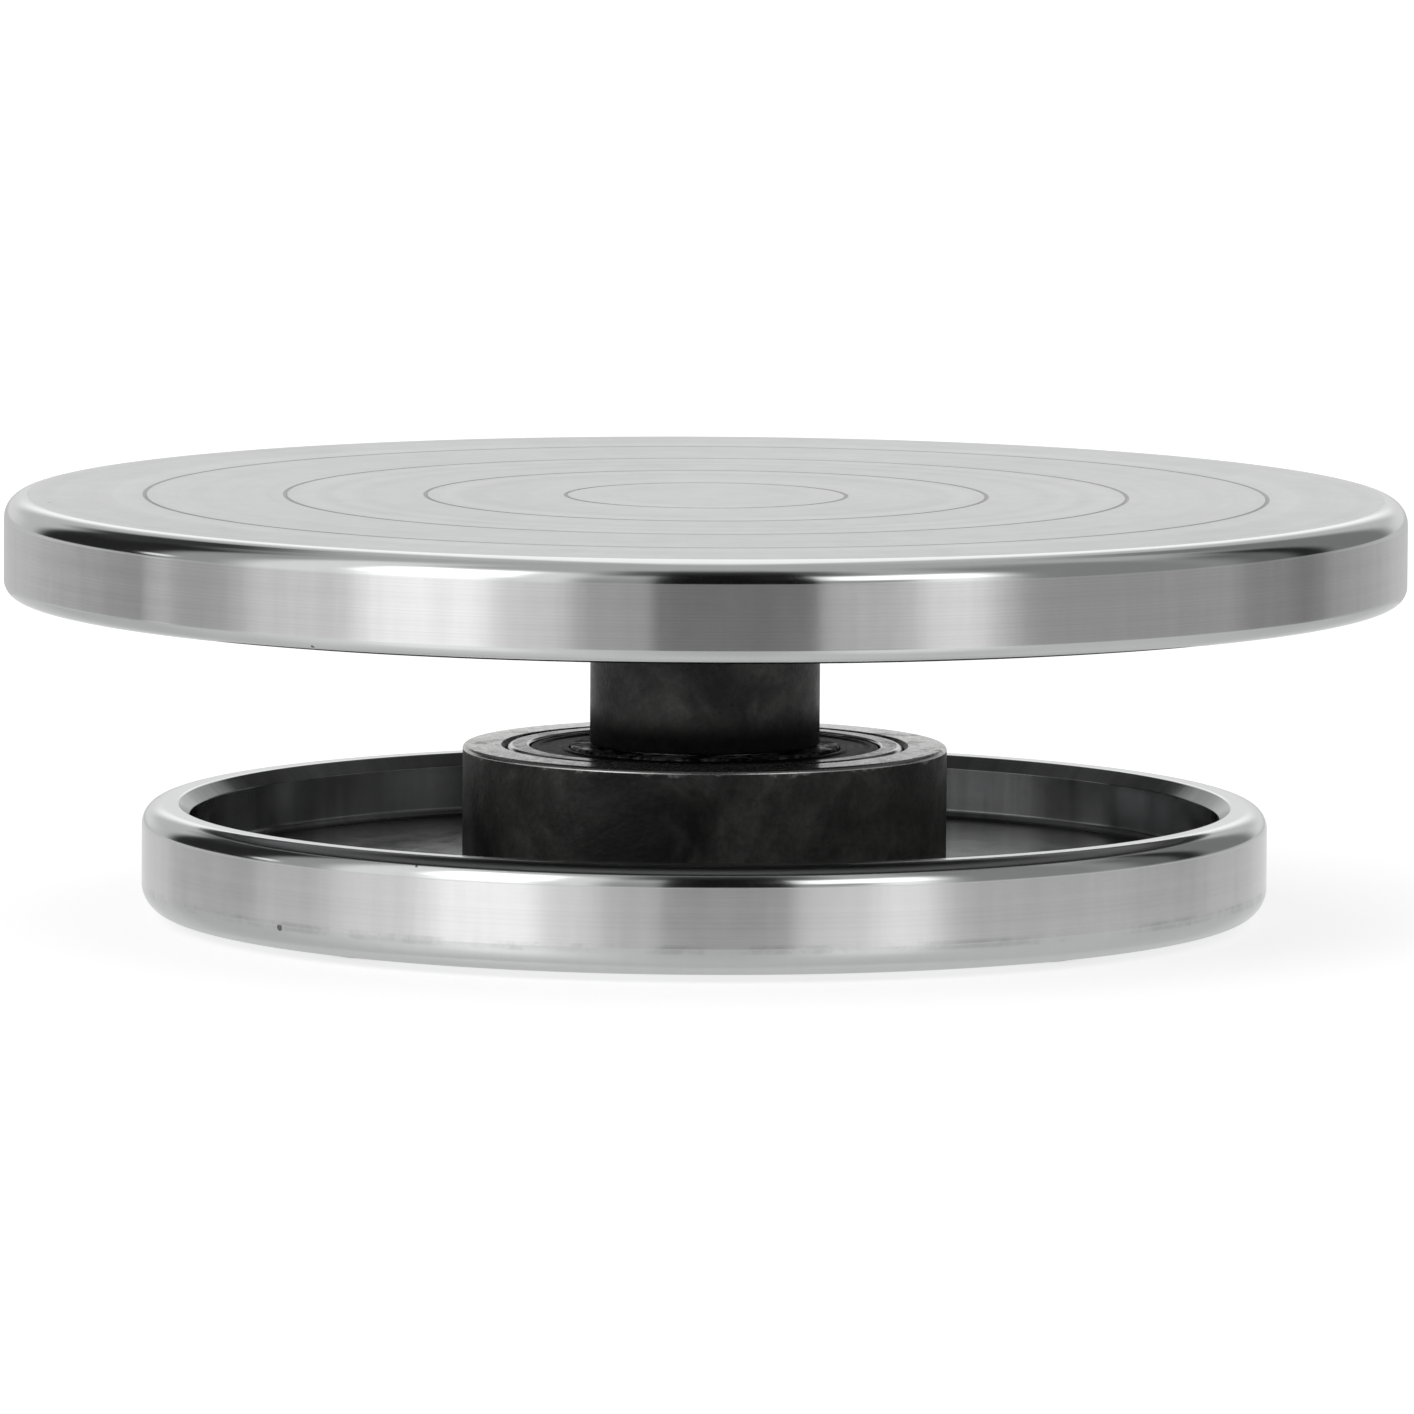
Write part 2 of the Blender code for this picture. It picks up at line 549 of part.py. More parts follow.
# ---------------------------------------------------------------- retaining bolt
def make_retaining_pieces(parts, cutters, materials):
    """Large washer, split lock washer and hexagon bolt that hold the spindle in the inner race."""
    zinc = materials["zinc_plated_steel"]
    hole = BOLT_DIAMETER / 2 + GAP
    top = RETAINING_WASHER_TOP
    bottom = top - RETAINING_WASHER_THICKNESS
    rim = RETAINING_WASHER_DIAMETER / 2
    turned("retaining_washer", [(rim, top), (rim, bottom), (hole, bottom), (hole, top)], MEDIUM_FACETS,
           parts, zinc)
    top = LOCK_WASHER_TOP
    bottom = top - LOCK_WASHER_THICKNESS
    rim = LOCK_WASHER_DIAMETER / 2
    lock = turned("lock_washer", [(rim, top), (rim, bottom), (hole, bottom), (hole, top)], SMALL_FACETS,
                  parts, zinc)
    split_mesh = bpy.data.meshes.new("lock_washer_split")
    build = bmesh.new()
    size = Matrix.Diagonal((rim + CUT_MARGIN, LOCK_WASHER_SPLIT, 2 * LOCK_WASHER_THICKNESS, 1.0))
    spot = Matrix.Translation(((rim + CUT_MARGIN) / 2, 0.0001, (top + bottom) / 2))
    bmesh.ops.create_cube(build, size=1.0, matrix=spot @ size)
    build.to_mesh(split_mesh)
    build.free()
    boolean(lock, hide_cutter(place("lock_washer_split", split_mesh, cutters, None)))

    shank = BOLT_DIAMETER / 2
    bevel = BOLT_DIAMETER * 0.08
    profile = [(0, BOLT_SEAT + BOLT_LENGTH), (shank - bevel, BOLT_SEAT + BOLT_LENGTH),
               (shank, BOLT_SEAT + BOLT_LENGTH - bevel), (shank, BOLT_SEAT - BOLT_HEAD / 2),
               (0, BOLT_SEAT - BOLT_HEAD / 2)]
    bolt = turned("retaining_bolt", profile, SMALL_FACETS, parts, zinc)
    head = prism("bolt_head", 6, BOLT_ACROSS_FLATS / math.sqrt(3), BOLT_SEAT - BOLT_HEAD, BOLT_SEAT, cutters)
    boolean(bolt, hide_cutter(head), "UNION")


# ---------------------------------------------------------------- bearing housing
def make_housing(parts, cutters, materials):
    """Black cup with a bore for the outer race and a ledge under it, screwed to the base."""
    outer = HOUSING_DIAMETER / 2
    bevel = HOUSING_BEVEL
    profile = [(outer - bevel, HOUSING_TOP), (outer, HOUSING_TOP - bevel), (outer, HOUSING_BOTTOM),
               (LEDGE_RADIUS, HOUSING_BOTTOM), (LEDGE_RADIUS, LEDGE_TOP), (HOUSING_BORE_RADIUS, LEDGE_TOP),
               (HOUSING_BORE_RADIUS, HOUSING_TOP - bevel), (HOUSING_BORE_RADIUS + bevel, HOUSING_TOP)]
    housing = turned("bearing_housing", profile, MEDIUM_FACETS, parts, materials["black_cast_steel"])
    hole_radius = HOUSING_SCREW_DIAMETER / 2 + GAP
    top = BASE_BOTTOM + HOUSING_SCREW_SINK + HOUSING_SCREW_LENGTH + GAP
    bottom = HOUSING_BOTTOM - CUT_MARGIN
    hole = turned("housing_hole", [(0, top), (hole_radius, top), (hole_radius, bottom), (0, bottom)],
                  SCREW_FACETS, cutters)
    places = ring_positions(HOUSING_SCREW_COUNT, HOUSING_SCREW_CIRCLE_DIAMETER, 0)
    boolean(housing, cutter_group("housing_tapped_holes", hole, places, cutters))


# ---------------------------------------------------------------- base
def base_profile():
    outer = BASE_DIAMETER / 2
    inner = outer - BASE_WALL
    access = BASE_ACCESS_DIAMETER / 2
    points = arc(outer - BASE_TOP_ROUND, BASE_RIM_TOP - BASE_TOP_ROUND, BASE_TOP_ROUND, 90, 0, ROUND_STEPS)
    points += arc(outer - BASE_BOTTOM_ROUND, BASE_BOTTOM + BASE_BOTTOM_ROUND, BASE_BOTTOM_ROUND,
                  0, -90, ROUND_STEPS)
    points += [(access, BASE_BOTTOM), (access, BASE_FLOOR_TOP)]
    points += arc(inner - BASE_FLOOR_ROUND, BASE_FLOOR_TOP + BASE_FLOOR_ROUND, BASE_FLOOR_ROUND, -90, 0, 2)
    points += [(inner, BASE_RIM_TOP - BASE_INNER_BEVEL), (inner + BASE_INNER_BEVEL, BASE_RIM_TOP)]
    return points


def make_base(parts, cutters, materials):
    """Polished dish with pockets for the feet and sunk holes for the housing screws."""
    base = turned("base_dish", base_profile(), LARGE_FACETS, parts, materials["polished_aluminium"])
    below = BASE_BOTTOM - CUT_MARGIN
    pocket = FOOT_DIAMETER / 2 + GAP
    pocket_top = BASE_BOTTOM + FOOT_POCKET
    thread = FOOT_SCREW_DIAMETER / 2 + GAP
    thread_top = FOOT_SCREW_SINK + FOOT_SCREW_LENGTH + GAP
    foot_cut = turned("foot_pocket", [(0, thread_top), (thread, thread_top), (thread, pocket_top),
                                      (pocket, pocket_top), (pocket, below), (0, below)],
                      SMALL_FACETS, cutters)
    places = ring_positions(FOOT_COUNT, FOOT_CIRCLE_DIAMETER, 45)
    boolean(base, cutter_group("foot_pockets", foot_cut, places, cutters))
    head = HOUSING_SCREW_DIAMETER * SOCKET_HEAD_DIAMETER_RATIO / 2 + GAP
    clear = HOUSING_SCREW_DIAMETER / 2 + GAP
    sink = BASE_BOTTOM + HOUSING_SCREW_SINK
    above = BASE_FLOOR_TOP + CUT_MARGIN
    screw_cut = turned("screw_hole", [(0, above), (clear, above), (clear, sink), (head, sink),
                                      (head, below), (0, below)], SCREW_FACETS, cutters)
    places = ring_positions(HOUSING_SCREW_COUNT, HOUSING_SCREW_CIRCLE_DIAMETER, 0)
    boolean(base, cutter_group("housing_screw_holes", screw_cut, places, cutters))


# ---------------------------------------------------------------- feet
def make_feet(parts, materials):
    """Rubber pads in pockets under the base, each held by a pan head screw."""
    rim = FOOT_DIAMETER / 2
    sink = FOOT_SCREW_HEAD_DIAMETER / 2 + GAP
    hole = FOOT_SCREW_DIAMETER / 2 + GAP
    pad = [(rim, FOOT_TOP), (rim, FOOT_BEVEL), (rim - FOOT_BEVEL, 0), (sink, 0), (sink, FOOT_SCREW_SINK),
           (hole, FOOT_SCREW_SINK), (hole, FOOT_TOP)]
    foot = turned("foot", pad, SMALL_FACETS, parts, materials["black_foot_rubber"])
    head = FOOT_SCREW_HEAD_DIAMETER / 2
    shank = FOOT_SCREW_DIAMETER / 2
    seat = FOOT_SCREW_SINK - GAP
    end = FOOT_SCREW_SINK + FOOT_SCREW_LENGTH - GAP
    bevel = FOOT_SCREW_HEAD * 0.4
    pan = [(0, end), (shank, end), (shank, seat), (head, seat), (head, seat - FOOT_SCREW_HEAD + bevel),
           (head - bevel, seat - FOOT_SCREW_HEAD), (0, seat - FOOT_SCREW_HEAD)]
    screw = turned("foot_screw", pan, SCREW_FACETS, parts, materials["zinc_plated_steel"])
    places = ring_positions(FOOT_COUNT, FOOT_CIRCLE_DIAMETER, 45)
    for number, spot in enumerate(places, start=1):
        place(f"foot_{number}", foot.data, parts, None, spot)
        place(f"foot_screw_{number}", screw.data, parts, None, spot)
    bpy.data.objects.remove(foot, do_unlink=True)
    bpy.data.objects.remove(screw, do_unlink=True)


# ---------------------------------------------------------------- joint axes
def hang(axis, names):
    """Parent pieces to an empty on their joint's axis, without moving them."""
    for name in names:
        child = bpy.data.objects[name]
        child.parent = axis
        child.matrix_parent_inverse = axis.matrix_basis.inverted()


def make_axes(parts):
    """Empties on the turning axis: one for what turns with the disc, one for the ball cage."""
    turning = bpy.data.objects.new("turning_axis", None)
    cage = bpy.data.objects.new("cage_axis", None)
    for axis in (turning, cage):
        axis.location = (0, 0, BEARING_MIDDLE)
        axis.empty_display_size = DISC_DIAMETER / 10
        parts.objects.link(axis)
    disc_screws = [f"disc_screw_{i}" for i in range(1, DISC_SCREW_COUNT + 1)]
    hang(turning, ["turntable_disc", "spindle", "inner_race", "retaining_washer", "lock_washer",
                   "retaining_bolt"] + disc_screws)
    balls = [f"ball_{i}" for i in range(1, BALL_COUNT + 1)]
    rivets = [f"cage_rivet_{i}" for i in range(1, BALL_COUNT + 1)]
    hang(cage, ["upper_cage_half", "lower_cage_half"] + rivets + balls)


def main():
    clear_scene()
    parts = new_collection("cake_turntable")
    cutters = new_collection("cutters")
    materials = make_materials()
    make_disc(parts, cutters, materials)
    make_spindle(parts, cutters, materials)
    make_disc_screws(parts, cutters, materials)
    make_races_and_seals(parts, materials)
    make_balls(parts, materials)
    make_cage(parts, cutters, materials)
    make_retaining_pieces(parts, cutters, materials)
    make_housing(parts, cutters, materials)
    make_housing_screws(parts, cutters, materials)
    make_base(parts, cutters, materials)
    make_feet(parts, materials)
    make_axes(parts)


main()
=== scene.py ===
"""Looks of the cake turntable: finely turned shapes, finishes, studio light and camera.

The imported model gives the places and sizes. Lengths are metres, +Z is up, the turning axis is Z
and the feet stand on z = 0.
"""
import math
from collections import namedtuple

import bmesh
import bpy
from mathutils import Matrix, Vector


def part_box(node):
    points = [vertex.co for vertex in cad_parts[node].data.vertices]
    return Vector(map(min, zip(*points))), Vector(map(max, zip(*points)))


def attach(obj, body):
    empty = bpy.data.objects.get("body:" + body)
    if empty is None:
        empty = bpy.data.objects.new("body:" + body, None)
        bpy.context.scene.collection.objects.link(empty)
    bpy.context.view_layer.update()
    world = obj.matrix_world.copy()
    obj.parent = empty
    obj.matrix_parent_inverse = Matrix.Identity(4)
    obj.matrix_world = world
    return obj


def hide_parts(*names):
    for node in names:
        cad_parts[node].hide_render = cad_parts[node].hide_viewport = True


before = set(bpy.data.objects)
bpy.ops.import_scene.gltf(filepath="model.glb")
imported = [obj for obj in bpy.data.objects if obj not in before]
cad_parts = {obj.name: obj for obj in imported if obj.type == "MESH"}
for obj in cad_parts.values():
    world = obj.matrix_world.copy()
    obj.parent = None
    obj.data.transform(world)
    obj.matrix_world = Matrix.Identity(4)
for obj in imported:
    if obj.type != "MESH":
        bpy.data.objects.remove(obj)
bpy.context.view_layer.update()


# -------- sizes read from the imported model
def half_width(node):
    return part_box(node)[1].x


def bottom_of(node):
    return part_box(node)[0].z


def top_of(node):
    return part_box(node)[1].z


def half_across(node):
    low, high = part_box(node)
    return (high.x - low.x) / 2


def middle_of(node):
    low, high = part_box(node)
    return (low + high) / 2


DISC_RADIUS = half_width("turntable_disc")
DISC_TOP = top_of("turntable_disc")
DISC_BOTTOM = bottom_of("turntable_disc")
FLANGE_RADIUS = half_width("spindle")
FLANGE_TOP = top_of("spindle")
SHANK_BOTTOM = bottom_of("spindle")
HOUSING_RADIUS = half_width("bearing_housing")
HOUSING_TOP = top_of("bearing_housing")
HOUSING_BOTTOM = bottom_of("bearing_housing")
BASE_RADIUS = half_width("base_dish")
BASE_TOP = top_of("base_dish")
BASE_BOTTOM = bottom_of("base_dish")
BEARING_RADIUS = half_width("outer_race")
BEARING_TOP = top_of("outer_race")
BEARING_BOTTOM = bottom_of("outer_race")
INNER_SHOULDER = half_width("inner_race")
SEAL_RADIUS = half_width("upper_seal")
BALL_RADIUS = (top_of("ball_1") - bottom_of("ball_1")) / 2
BALL_CIRCLE = Vector(middle_of("ball_1").xy).length
SET_NUMBERS = range(1, 5)  # screws of each kind, and feet
BALL_NUMBERS = range(1, 10)
CENTRE = Vector((0, 0))

# -------- sizes that the looks add
NEGLIGIBLE = 1e-7
GAP = 0.0003
DISC_RIM_WALL = 0.007
DISC_PLATE = 0.007
DISC_TOP_ROUND = 0.0049
DISC_BOTTOM_ROUND = 0.0031
BOSS_MARGIN = 0.003  # the disc's boss past the spindle's flange
GUIDE_RING_STEP = 0.030
GUIDE_RING_COUNT = 4
GUIDE_LINE_WIDTH = 0.0009
GUIDE_LINE_DEPTH = 0.00022
FLANGE_THICKNESS = 0.008
NECK_RADIUS = 0.0246
NECK_FILLET = 0.004
BORE_RADIUS = 0.0225
RACE_ROUND = 0.0013
SEAL_PRESSING = 0.00035  # depth of the ring pressed in a seal's face
BOLT_HOLE_RADIUS = 0.0063
BOLT_HOLE_DEPTH = 0.026
BOLT_RADIUS = 0.006
BOLT_ACROSS_FLATS = 0.018
BOLT_HEAD_HEIGHT = 0.0075
BOLT_BEVEL = 0.0005
BASE_WALL = 0.0103
BASE_FLOOR = 0.0097
BASE_TOP_ROUND = 0.0045
BASE_BOTTOM_ROUND = 0.006
BASE_INNER_BEVEL = 0.0026
BASE_ACCESS_RADIUS = 0.017
ACCESS_ROUND = 0.0005
BASE_SCREW_RECESS = 0.0056
HOUSING_LEDGE = 0.0035
HOUSING_BEVEL = 0.0009
FOOT_HOLE_RADIUS = 0.0023
FOOT_SEAT = 0.002
FOOT_SCREW_RADIUS = 0.002
FOOT_SCREW_HEAD = 0.0013
DRIVER_CROSS_DEPTH = 0.0007
SHARP_EDGE = math.radians(35)
SMOOTH_TURNS = 256  # facets round a large turned piece
SMALL_TURNS = 64
TINY_TURNS = 32
GROOVE_STEPS = 12  # flats along a race's ball groove


# -------- placing pieces
def stand(name, data, location=(0, 0, 0)):
    """An object made from its data and put in the scene."""
    made = bpy.data.objects.new(name, data)
    made.location = location
    bpy.context.scene.collection.objects.link(made)
    return made


def fit(piece, body, node=None):
    """The body a piece rides on, and the CAD node it stands for, if any."""
    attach(piece, body)
    if node:
        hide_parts(node)


def evaluated_mesh(piece):
    bpy.context.view_layer.update()
    return bpy.data.meshes.new_from_object(piece.evaluated_get(bpy.context.evaluated_depsgraph_get()))


# -------- turned shapes
Corner = namedtuple("Corner", "r z round steps on_round after", defaults=(0.0, 6, 0, 0))
Span = namedtuple("Span", "start start_normal end end_normal finish")


def left_of(direction):
    return Vector((-direction.y, direction.x))


def spans_of(corners, closed):
    """Straight and round spans of a profile that runs down the outer side and back up the inner side.

    on_round is the finish of a corner's rounding, and after that of the straight to the next one;
    a finish of None leaves that part of the surface out.
    """
    count = len(corners)
    places = [Vector((c.r, c.z)) for c in corners]
    starts = list(places)
    ends = list(places)
    arcs = {}
    for i, corner in enumerate(corners):
        inside = closed or 0 < i < count - 1
        if corner.round <= 0 or not inside:
            continue
        into = (places[i] - places[i - 1]).normalized()
        out = (places[(i + 1) % count] - places[i]).normalized()
        turn = math.atan2(into.x * out.y - into.y * out.x, into.dot(out))
        reach = corner.round * math.tan(abs(turn) / 2)
        ends[i] = places[i] - into * reach
        starts[i] = places[i] + out * reach
        side = -1 if turn < 0 else 1
        centre = ends[i] + left_of(into) * corner.round * side
        first = math.atan2(left_of(into).y, left_of(into).x)
        arc = []
        for k in range(corner.steps + 1):
            angle = first + turn * k / corner.steps
            normal = Vector((math.cos(angle), math.sin(angle)))
            arc.append((centre - normal * corner.round * side, normal))
        arcs[i] = arc
    spans = []
    for i in range(count if closed else count - 1):
        if i in arcs:
            for (a, a_normal), (b, b_normal) in zip(arcs[i], arcs[i][1:]):
                spans.append(Span(a, a_normal, b, b_normal, corners[i].on_round))
        following = (i + 1) % count
        straight = ends[following] - starts[i]
        if straight.length > NEGLIGIBLE:
            normal = left_of(straight.normalized())
            spans.append(Span(starts[i], normal, ends[following], normal, corners[i].after))
    return spans


def turned(name, corners, finishes, turns=SMOOTH_TURNS, closed=True, location=(0, 0, 0)):
    """Turn a profile about Z, with exact normals so that flats and roundings reflect cleanly."""
    rings = {}
    verts = []
    faces = []
    normals = []
    marks = []
    circle = [Vector((math.cos(2 * math.pi * j / turns), math.sin(2 * math.pi * j / turns)))
              for j in range(turns)]

    def ring(place):
        key = (round(place.x, 8), round(place.y, 8))
        if key not in rings:
            if place.x < NEGLIGIBLE:
                verts.append((0.0, 0.0, place.y))
                rings[key] = [len(verts) - 1] * turns
            else:
                first = len(verts)
                verts.extend((c.x * place.x, c.y * place.x, place.y) for c in circle)
                rings[key] = list(range(first, first + turns))
        return rings[key]

    for span in spans_of(corners, closed):
        on_axis = span.start.x < NEGLIGIBLE and span.end.x < NEGLIGIBLE
        if on_axis or span.finish is None:
            continue
        first = ring(span.start)
        last = ring(span.end)
        for j in range(turns):
            k = (j + 1) % turns
            around = [(first[j], j, span.start_normal), (last[j], j, span.end_normal),
                      (last[k], k, span.end_normal), (first[k], k, span.start_normal)]
            if first[j] == first[k]:
                around.pop()
            elif last[j] == last[k]:
                around.pop(2)
            faces.append([vert for vert, _, _ in around])
            normals.extend((circle[i].x * n.x, circle[i].y * n.x, n.y) for _, i, n in around)
            marks.append(span.finish)
    mesh = bpy.data.meshes.new(name)
    mesh.from_pydata(verts, [], faces)
    for finish in finishes:
        mesh.materials.append(finish)
    mesh.polygons.foreach_set("material_index", marks)
    mesh.shade_smooth()
    mesh.normals_split_custom_set(normals)
    mesh.update()
    return stand(name, mesh, location)


def circle_spline(curve, centre, radius, turns):
    spline = curve.splines.new("POLY")
    spline.points.add(turns - 1)
    for j, point in enumerate(spline.points):
        angle = 2 * math.pi * j / turns
        point.co = (centre.x + radius * math.cos(angle), centre.y + radius * math.sin(angle), 0.0, 1.0)
    spline.use_cyclic_u = True


def plate_with_holes(name, level, outer, holes, finish):
    """Flat plate that faces down, with round holes given as (centre, radius, turns)."""
    curve = bpy.data.curves.new(name, "CURVE")
    curve.dimensions = "2D"
    curve.fill_mode = "BOTH"
    circle_spline(curve, CENTRE, outer, SMOOTH_TURNS)
    for centre, radius, turns in holes:
        circle_spline(curve, centre, radius, turns)
    drawn = stand(name + "_outline", curve)
    mesh = evaluated_mesh(drawn)
    bpy.data.objects.remove(drawn, do_unlink=True)
    work = bmesh.new()
    work.from_mesh(mesh)
    for vert in work.verts:
        vert.co.z = level
    for face in work.faces:
        if face.normal.z > 0:
            face.normal_flip()
    work.to_mesh(mesh)
    work.free()
    mesh.name = name
    mesh.materials.clear()
    mesh.materials.append(finish)
    return stand(name, mesh)


def hex_head(name, radius, bottom, top, finish):
    """An upright six-sided head with softened edges, given by the radius to its corners."""
    mesh = bpy.data.meshes.new(name)
    work = bmesh.new()
    bmesh.ops.create_cone(work, cap_ends=True, segments=6, radius1=radius, radius2=radius,
                          depth=top - bottom)
    bmesh.ops.translate(work, verts=work.verts, vec=(0, 0, (top + bottom) / 2))
    bmesh.ops.bevel(work, geom=list(work.edges), offset=BOLT_BEVEL, segments=3, profile=0.5,
                    affect="EDGES")
    work.to_mesh(mesh)
    work.free()
    mesh.shade_smooth()
    mesh.set_sharp_from_angle(angle=SHARP_EDGE)
    mesh.materials.append(finish)
    return stand(name, mesh)


# -------- shader wiring
def add(tree, kind, inputs=None, **settings):
    """Add a node; inputs maps a socket's name or number to a value or to the socket that feeds it."""
    made = tree.nodes.new(kind)
    for key, value in settings.items():
        setattr(made, key, value)
    for key, value in (inputs or {}).items():
        if isinstance(value, bpy.types.NodeSocket):
            tree.links.new(value, made.inputs[key])
        else:
            made.inputs[key].default_value = value
    return made


def calc(tree, operation, a, b=0.0, c=0.0):
    return add(tree, "ShaderNodeMath", {0: a, 1: b, 2: c}, operation=operation).outputs[0]


def minus(tree, a, b):
    return calc(tree, "SUBTRACT", a, b)


def times(tree, a, b):
    return calc(tree, "MULTIPLY", a, b)


def times_plus(tree, a, b, c):
    return calc(tree, "MULTIPLY_ADD", a, b, c)


def ramp(tree, value, low, high, out_low=0.0, out_high=1.0, kind="SMOOTHSTEP"):
    """Value moved from low..high to out_low..out_high."""
    made = add(tree, "ShaderNodeMapRange", {"Value": value, "From Min": low, "From Max": high,
                                            "To Min": out_low, "To Max": out_high},
               interpolation_type=kind)
    return made.outputs["Result"]


def blend(tree, share, a, b):
    """Colour a where share is 0, colour b where it is 1."""
    return add(tree, "ShaderNodeMix", {0: share, 6: a, 7: b}, data_type="RGBA").outputs[2]


def new_group(name, inputs, outputs):
    """A shader node group with inputs, given as names with usual values, and named outputs."""
    group = bpy.data.node_groups.new(name, "ShaderNodeTree")
    for label, usual in inputs.items():
        socket = group.interface.new_socket(name=label, in_out="INPUT", socket_type="NodeSocketFloat")
        socket.default_value = usual
    for label in outputs:
        group.interface.new_socket(name=label, in_out="OUTPUT", socket_type="NodeSocketFloat")
    return group, group.nodes.new("NodeGroupInput").outputs, group.nodes.new("NodeGroupOutput").inputs


def object_place(tree):
    """The place on the piece, and its three parts."""
    place = add(tree, "ShaderNodeTexCoord").outputs["Object"]
    return place, add(tree, "ShaderNodeSeparateXYZ", {0: place}).outputs


def noise(tree, place, scale, detail, **more):
    inputs = {"Vector": place, "Scale": scale, "Detail": detail}
    inputs.update({label.capitalize(): value for label, value in more.items()})
    return add(tree, "ShaderNodeTexNoise", inputs).outputs[0]


def clear_middle(tree, value):
    """The middle of a noise's range stretched to 0..1."""
    return ramp(tree, value, 0.3, 0.7, kind="LINEAR")


def make_turned_lines():
    """Marks of the turning tool: fine rings round the axis, soft bands of them, and chatter."""
    group, given, result = new_group(
        "turned_lines", {"Lines Per Metre": 3000.0, "Wobble": 0.02, "Streaks Per Turn": 160.0},
        ("Lines", "Bands", "Streaks"))
    _, parts = object_place(group)
    radius = calc(group, "SQRT", calc(group, "ADD", times(group, parts["X"], parts["X"]),
                                      times(group, parts["Y"], parts["Y"])))
    angle = calc(group, "ARCTAN2", parts["Y"], parts["X"])
    line_place = add(group, "ShaderNodeCombineXYZ", {
        "X": times(group, radius, given["Lines Per Metre"]),
        "Y": times(group, parts["Z"], given["Lines Per Metre"]),
        "Z": times(group, calc(group, "SINE", angle), given["Wobble"])}).outputs[0]
    lines = noise(group, line_place, 1.0, 2.0)
    band_place = add(group, "ShaderNodeVectorMath", {0: line_place, "Scale": 0.06}, operation="SCALE")
    bands = noise(group, band_place.outputs[0], 1.0, 3.0)
    reach = calc(group, "DIVIDE", given["Streaks Per Turn"], 2 * math.pi)
    streak_place = add(group, "ShaderNodeCombineXYZ", {
        "X": times(group, calc(group, "COSINE", angle), reach),
        "Y": times(group, calc(group, "SINE", angle), reach),
        "Z": times(group, parts["Z"], 12.0)}).outputs[0]
    streaks = noise(group, streak_place, 1.0, 4.0, roughness=0.65)
    group.links.new(ramp(group, streaks, 0.35, 0.75, kind="LINEAR"), result["Streaks"])
    group.links.new(clear_middle(group, lines), result["Lines"])
    group.links.new(clear_middle(group, bands), result["Bands"])
    return group


def make_patches():
    """Uneven handling, oil and oxide: soft cloudy patches, and a finer mottle."""
    group, given, result = new_group("patches", {"Size": 0.03, "Cover": 0.5, "Softness": 0.15},
                                     ("Cloud", "Mottle"))
    place, _ = object_place(group)
    scale = calc(group, "DIVIDE", 1.0, given["Size"])
    cloud = noise(group, place, scale, 5.0, roughness=0.62, distortion=0.6)
    middle = minus(group, 1.0, given["Cover"])
    shown = ramp(group, cloud, minus(group, middle, given["Softness"]),
                 calc(group, "ADD", middle, given["Softness"]))
    mottle = noise(group, place, times(group, scale, 7.0), 4.0, roughness=0.7)
    group.links.new(shown, result["Cloud"])
    group.links.new(clear_middle(group, mottle), result["Mottle"])
    return group


def make_nicks():
    """Small scattered dents and specks of dirt, of uneven size."""
    group, given, result = new_group("nicks", {"Spacing": 0.02, "Radius": 0.0006, "Share": 0.3},
                                     ("Mask",))
    place, _ = object_place(group)
    spacing = calc(group, "DIVIDE", 1.0, given["Spacing"])
    cells = add(group, "ShaderNodeTexVoronoi", {"Vector": place, "Scale": spacing})
    chance = add(group, "ShaderNodeSeparateXYZ", {0: cells.outputs["Color"]}).outputs
    size = times(group, times(group, given["Radius"], spacing), chance["Y"])
    near = calc(group, "LESS_THAN", cells.outputs["Distance"], size)
    kept = calc(group, "LESS_THAN", chance["X"], given["Share"])
    group.links.new(times(group, near, kept), result["Mask"])
    return group


def make_dark_line():
    """A broken darker line round the object at one height."""
    group, given, result = new_group("dark_line", {"Level": 0.0, "Width": 0.0006}, ("Mask",))
    place, parts = object_place(group)
    ragged = noise(group, place, 260.0, 4.0, roughness=0.7)
    away = calc(group, "ABSOLUTE", minus(group, parts["Z"], given["Level"]))
    away = minus(group, away, times(group, ragged, given["Width"]))
    line = ramp(group, away, given["Width"], times(group, given["Width"], -0.3))
    broken = ramp(group, noise(group, place, 60.0, 5.0, roughness=0.7), 0.42, 0.62)
    group.links.new(times(group, line, broken), result["Mask"])
    return group


TURNED_LINES = make_turned_lines()
PATCHES = make_patches()
NICKS = make_nicks()
DARK_LINE = make_dark_line()
NICK_STRENGTH = 0.75
DARK_LINE_STRENGTH = 0.22


def use_group(tree, group, **inputs):
    made = tree.nodes.new("ShaderNodeGroup")
    made.node_tree = group
    for label, value in inputs.items():
        made.inputs[label.replace("_", " ")].default_value = value
    return made.outputs


def shade(colour, share):
    return tuple(c * share for c in colour) + (1.0,)


def new_surface(name):
    """A material whose tree holds only its shader; returns it, its tree and the shader's inputs."""
    material = bpy.data.materials.new(name)
    material.use_nodes = True
    tree = material.node_tree
    return material, tree, tree.nodes["Principled BSDF"].inputs


def finish_surface(tree, shader, tone, rough, height, depth, strength):
    """Lead colour, roughness and a bump of this height, depth in metres, to the shader."""
    tree.links.new(tone, shader["Base Color"])
    tree.links.new(rough, shader["Roughness"])
    bump = add(tree, "ShaderNodeBump", {"Height": height, "Distance": depth, "Strength": strength})
    tree.links.new(bump.outputs[0], shader["Normal"])


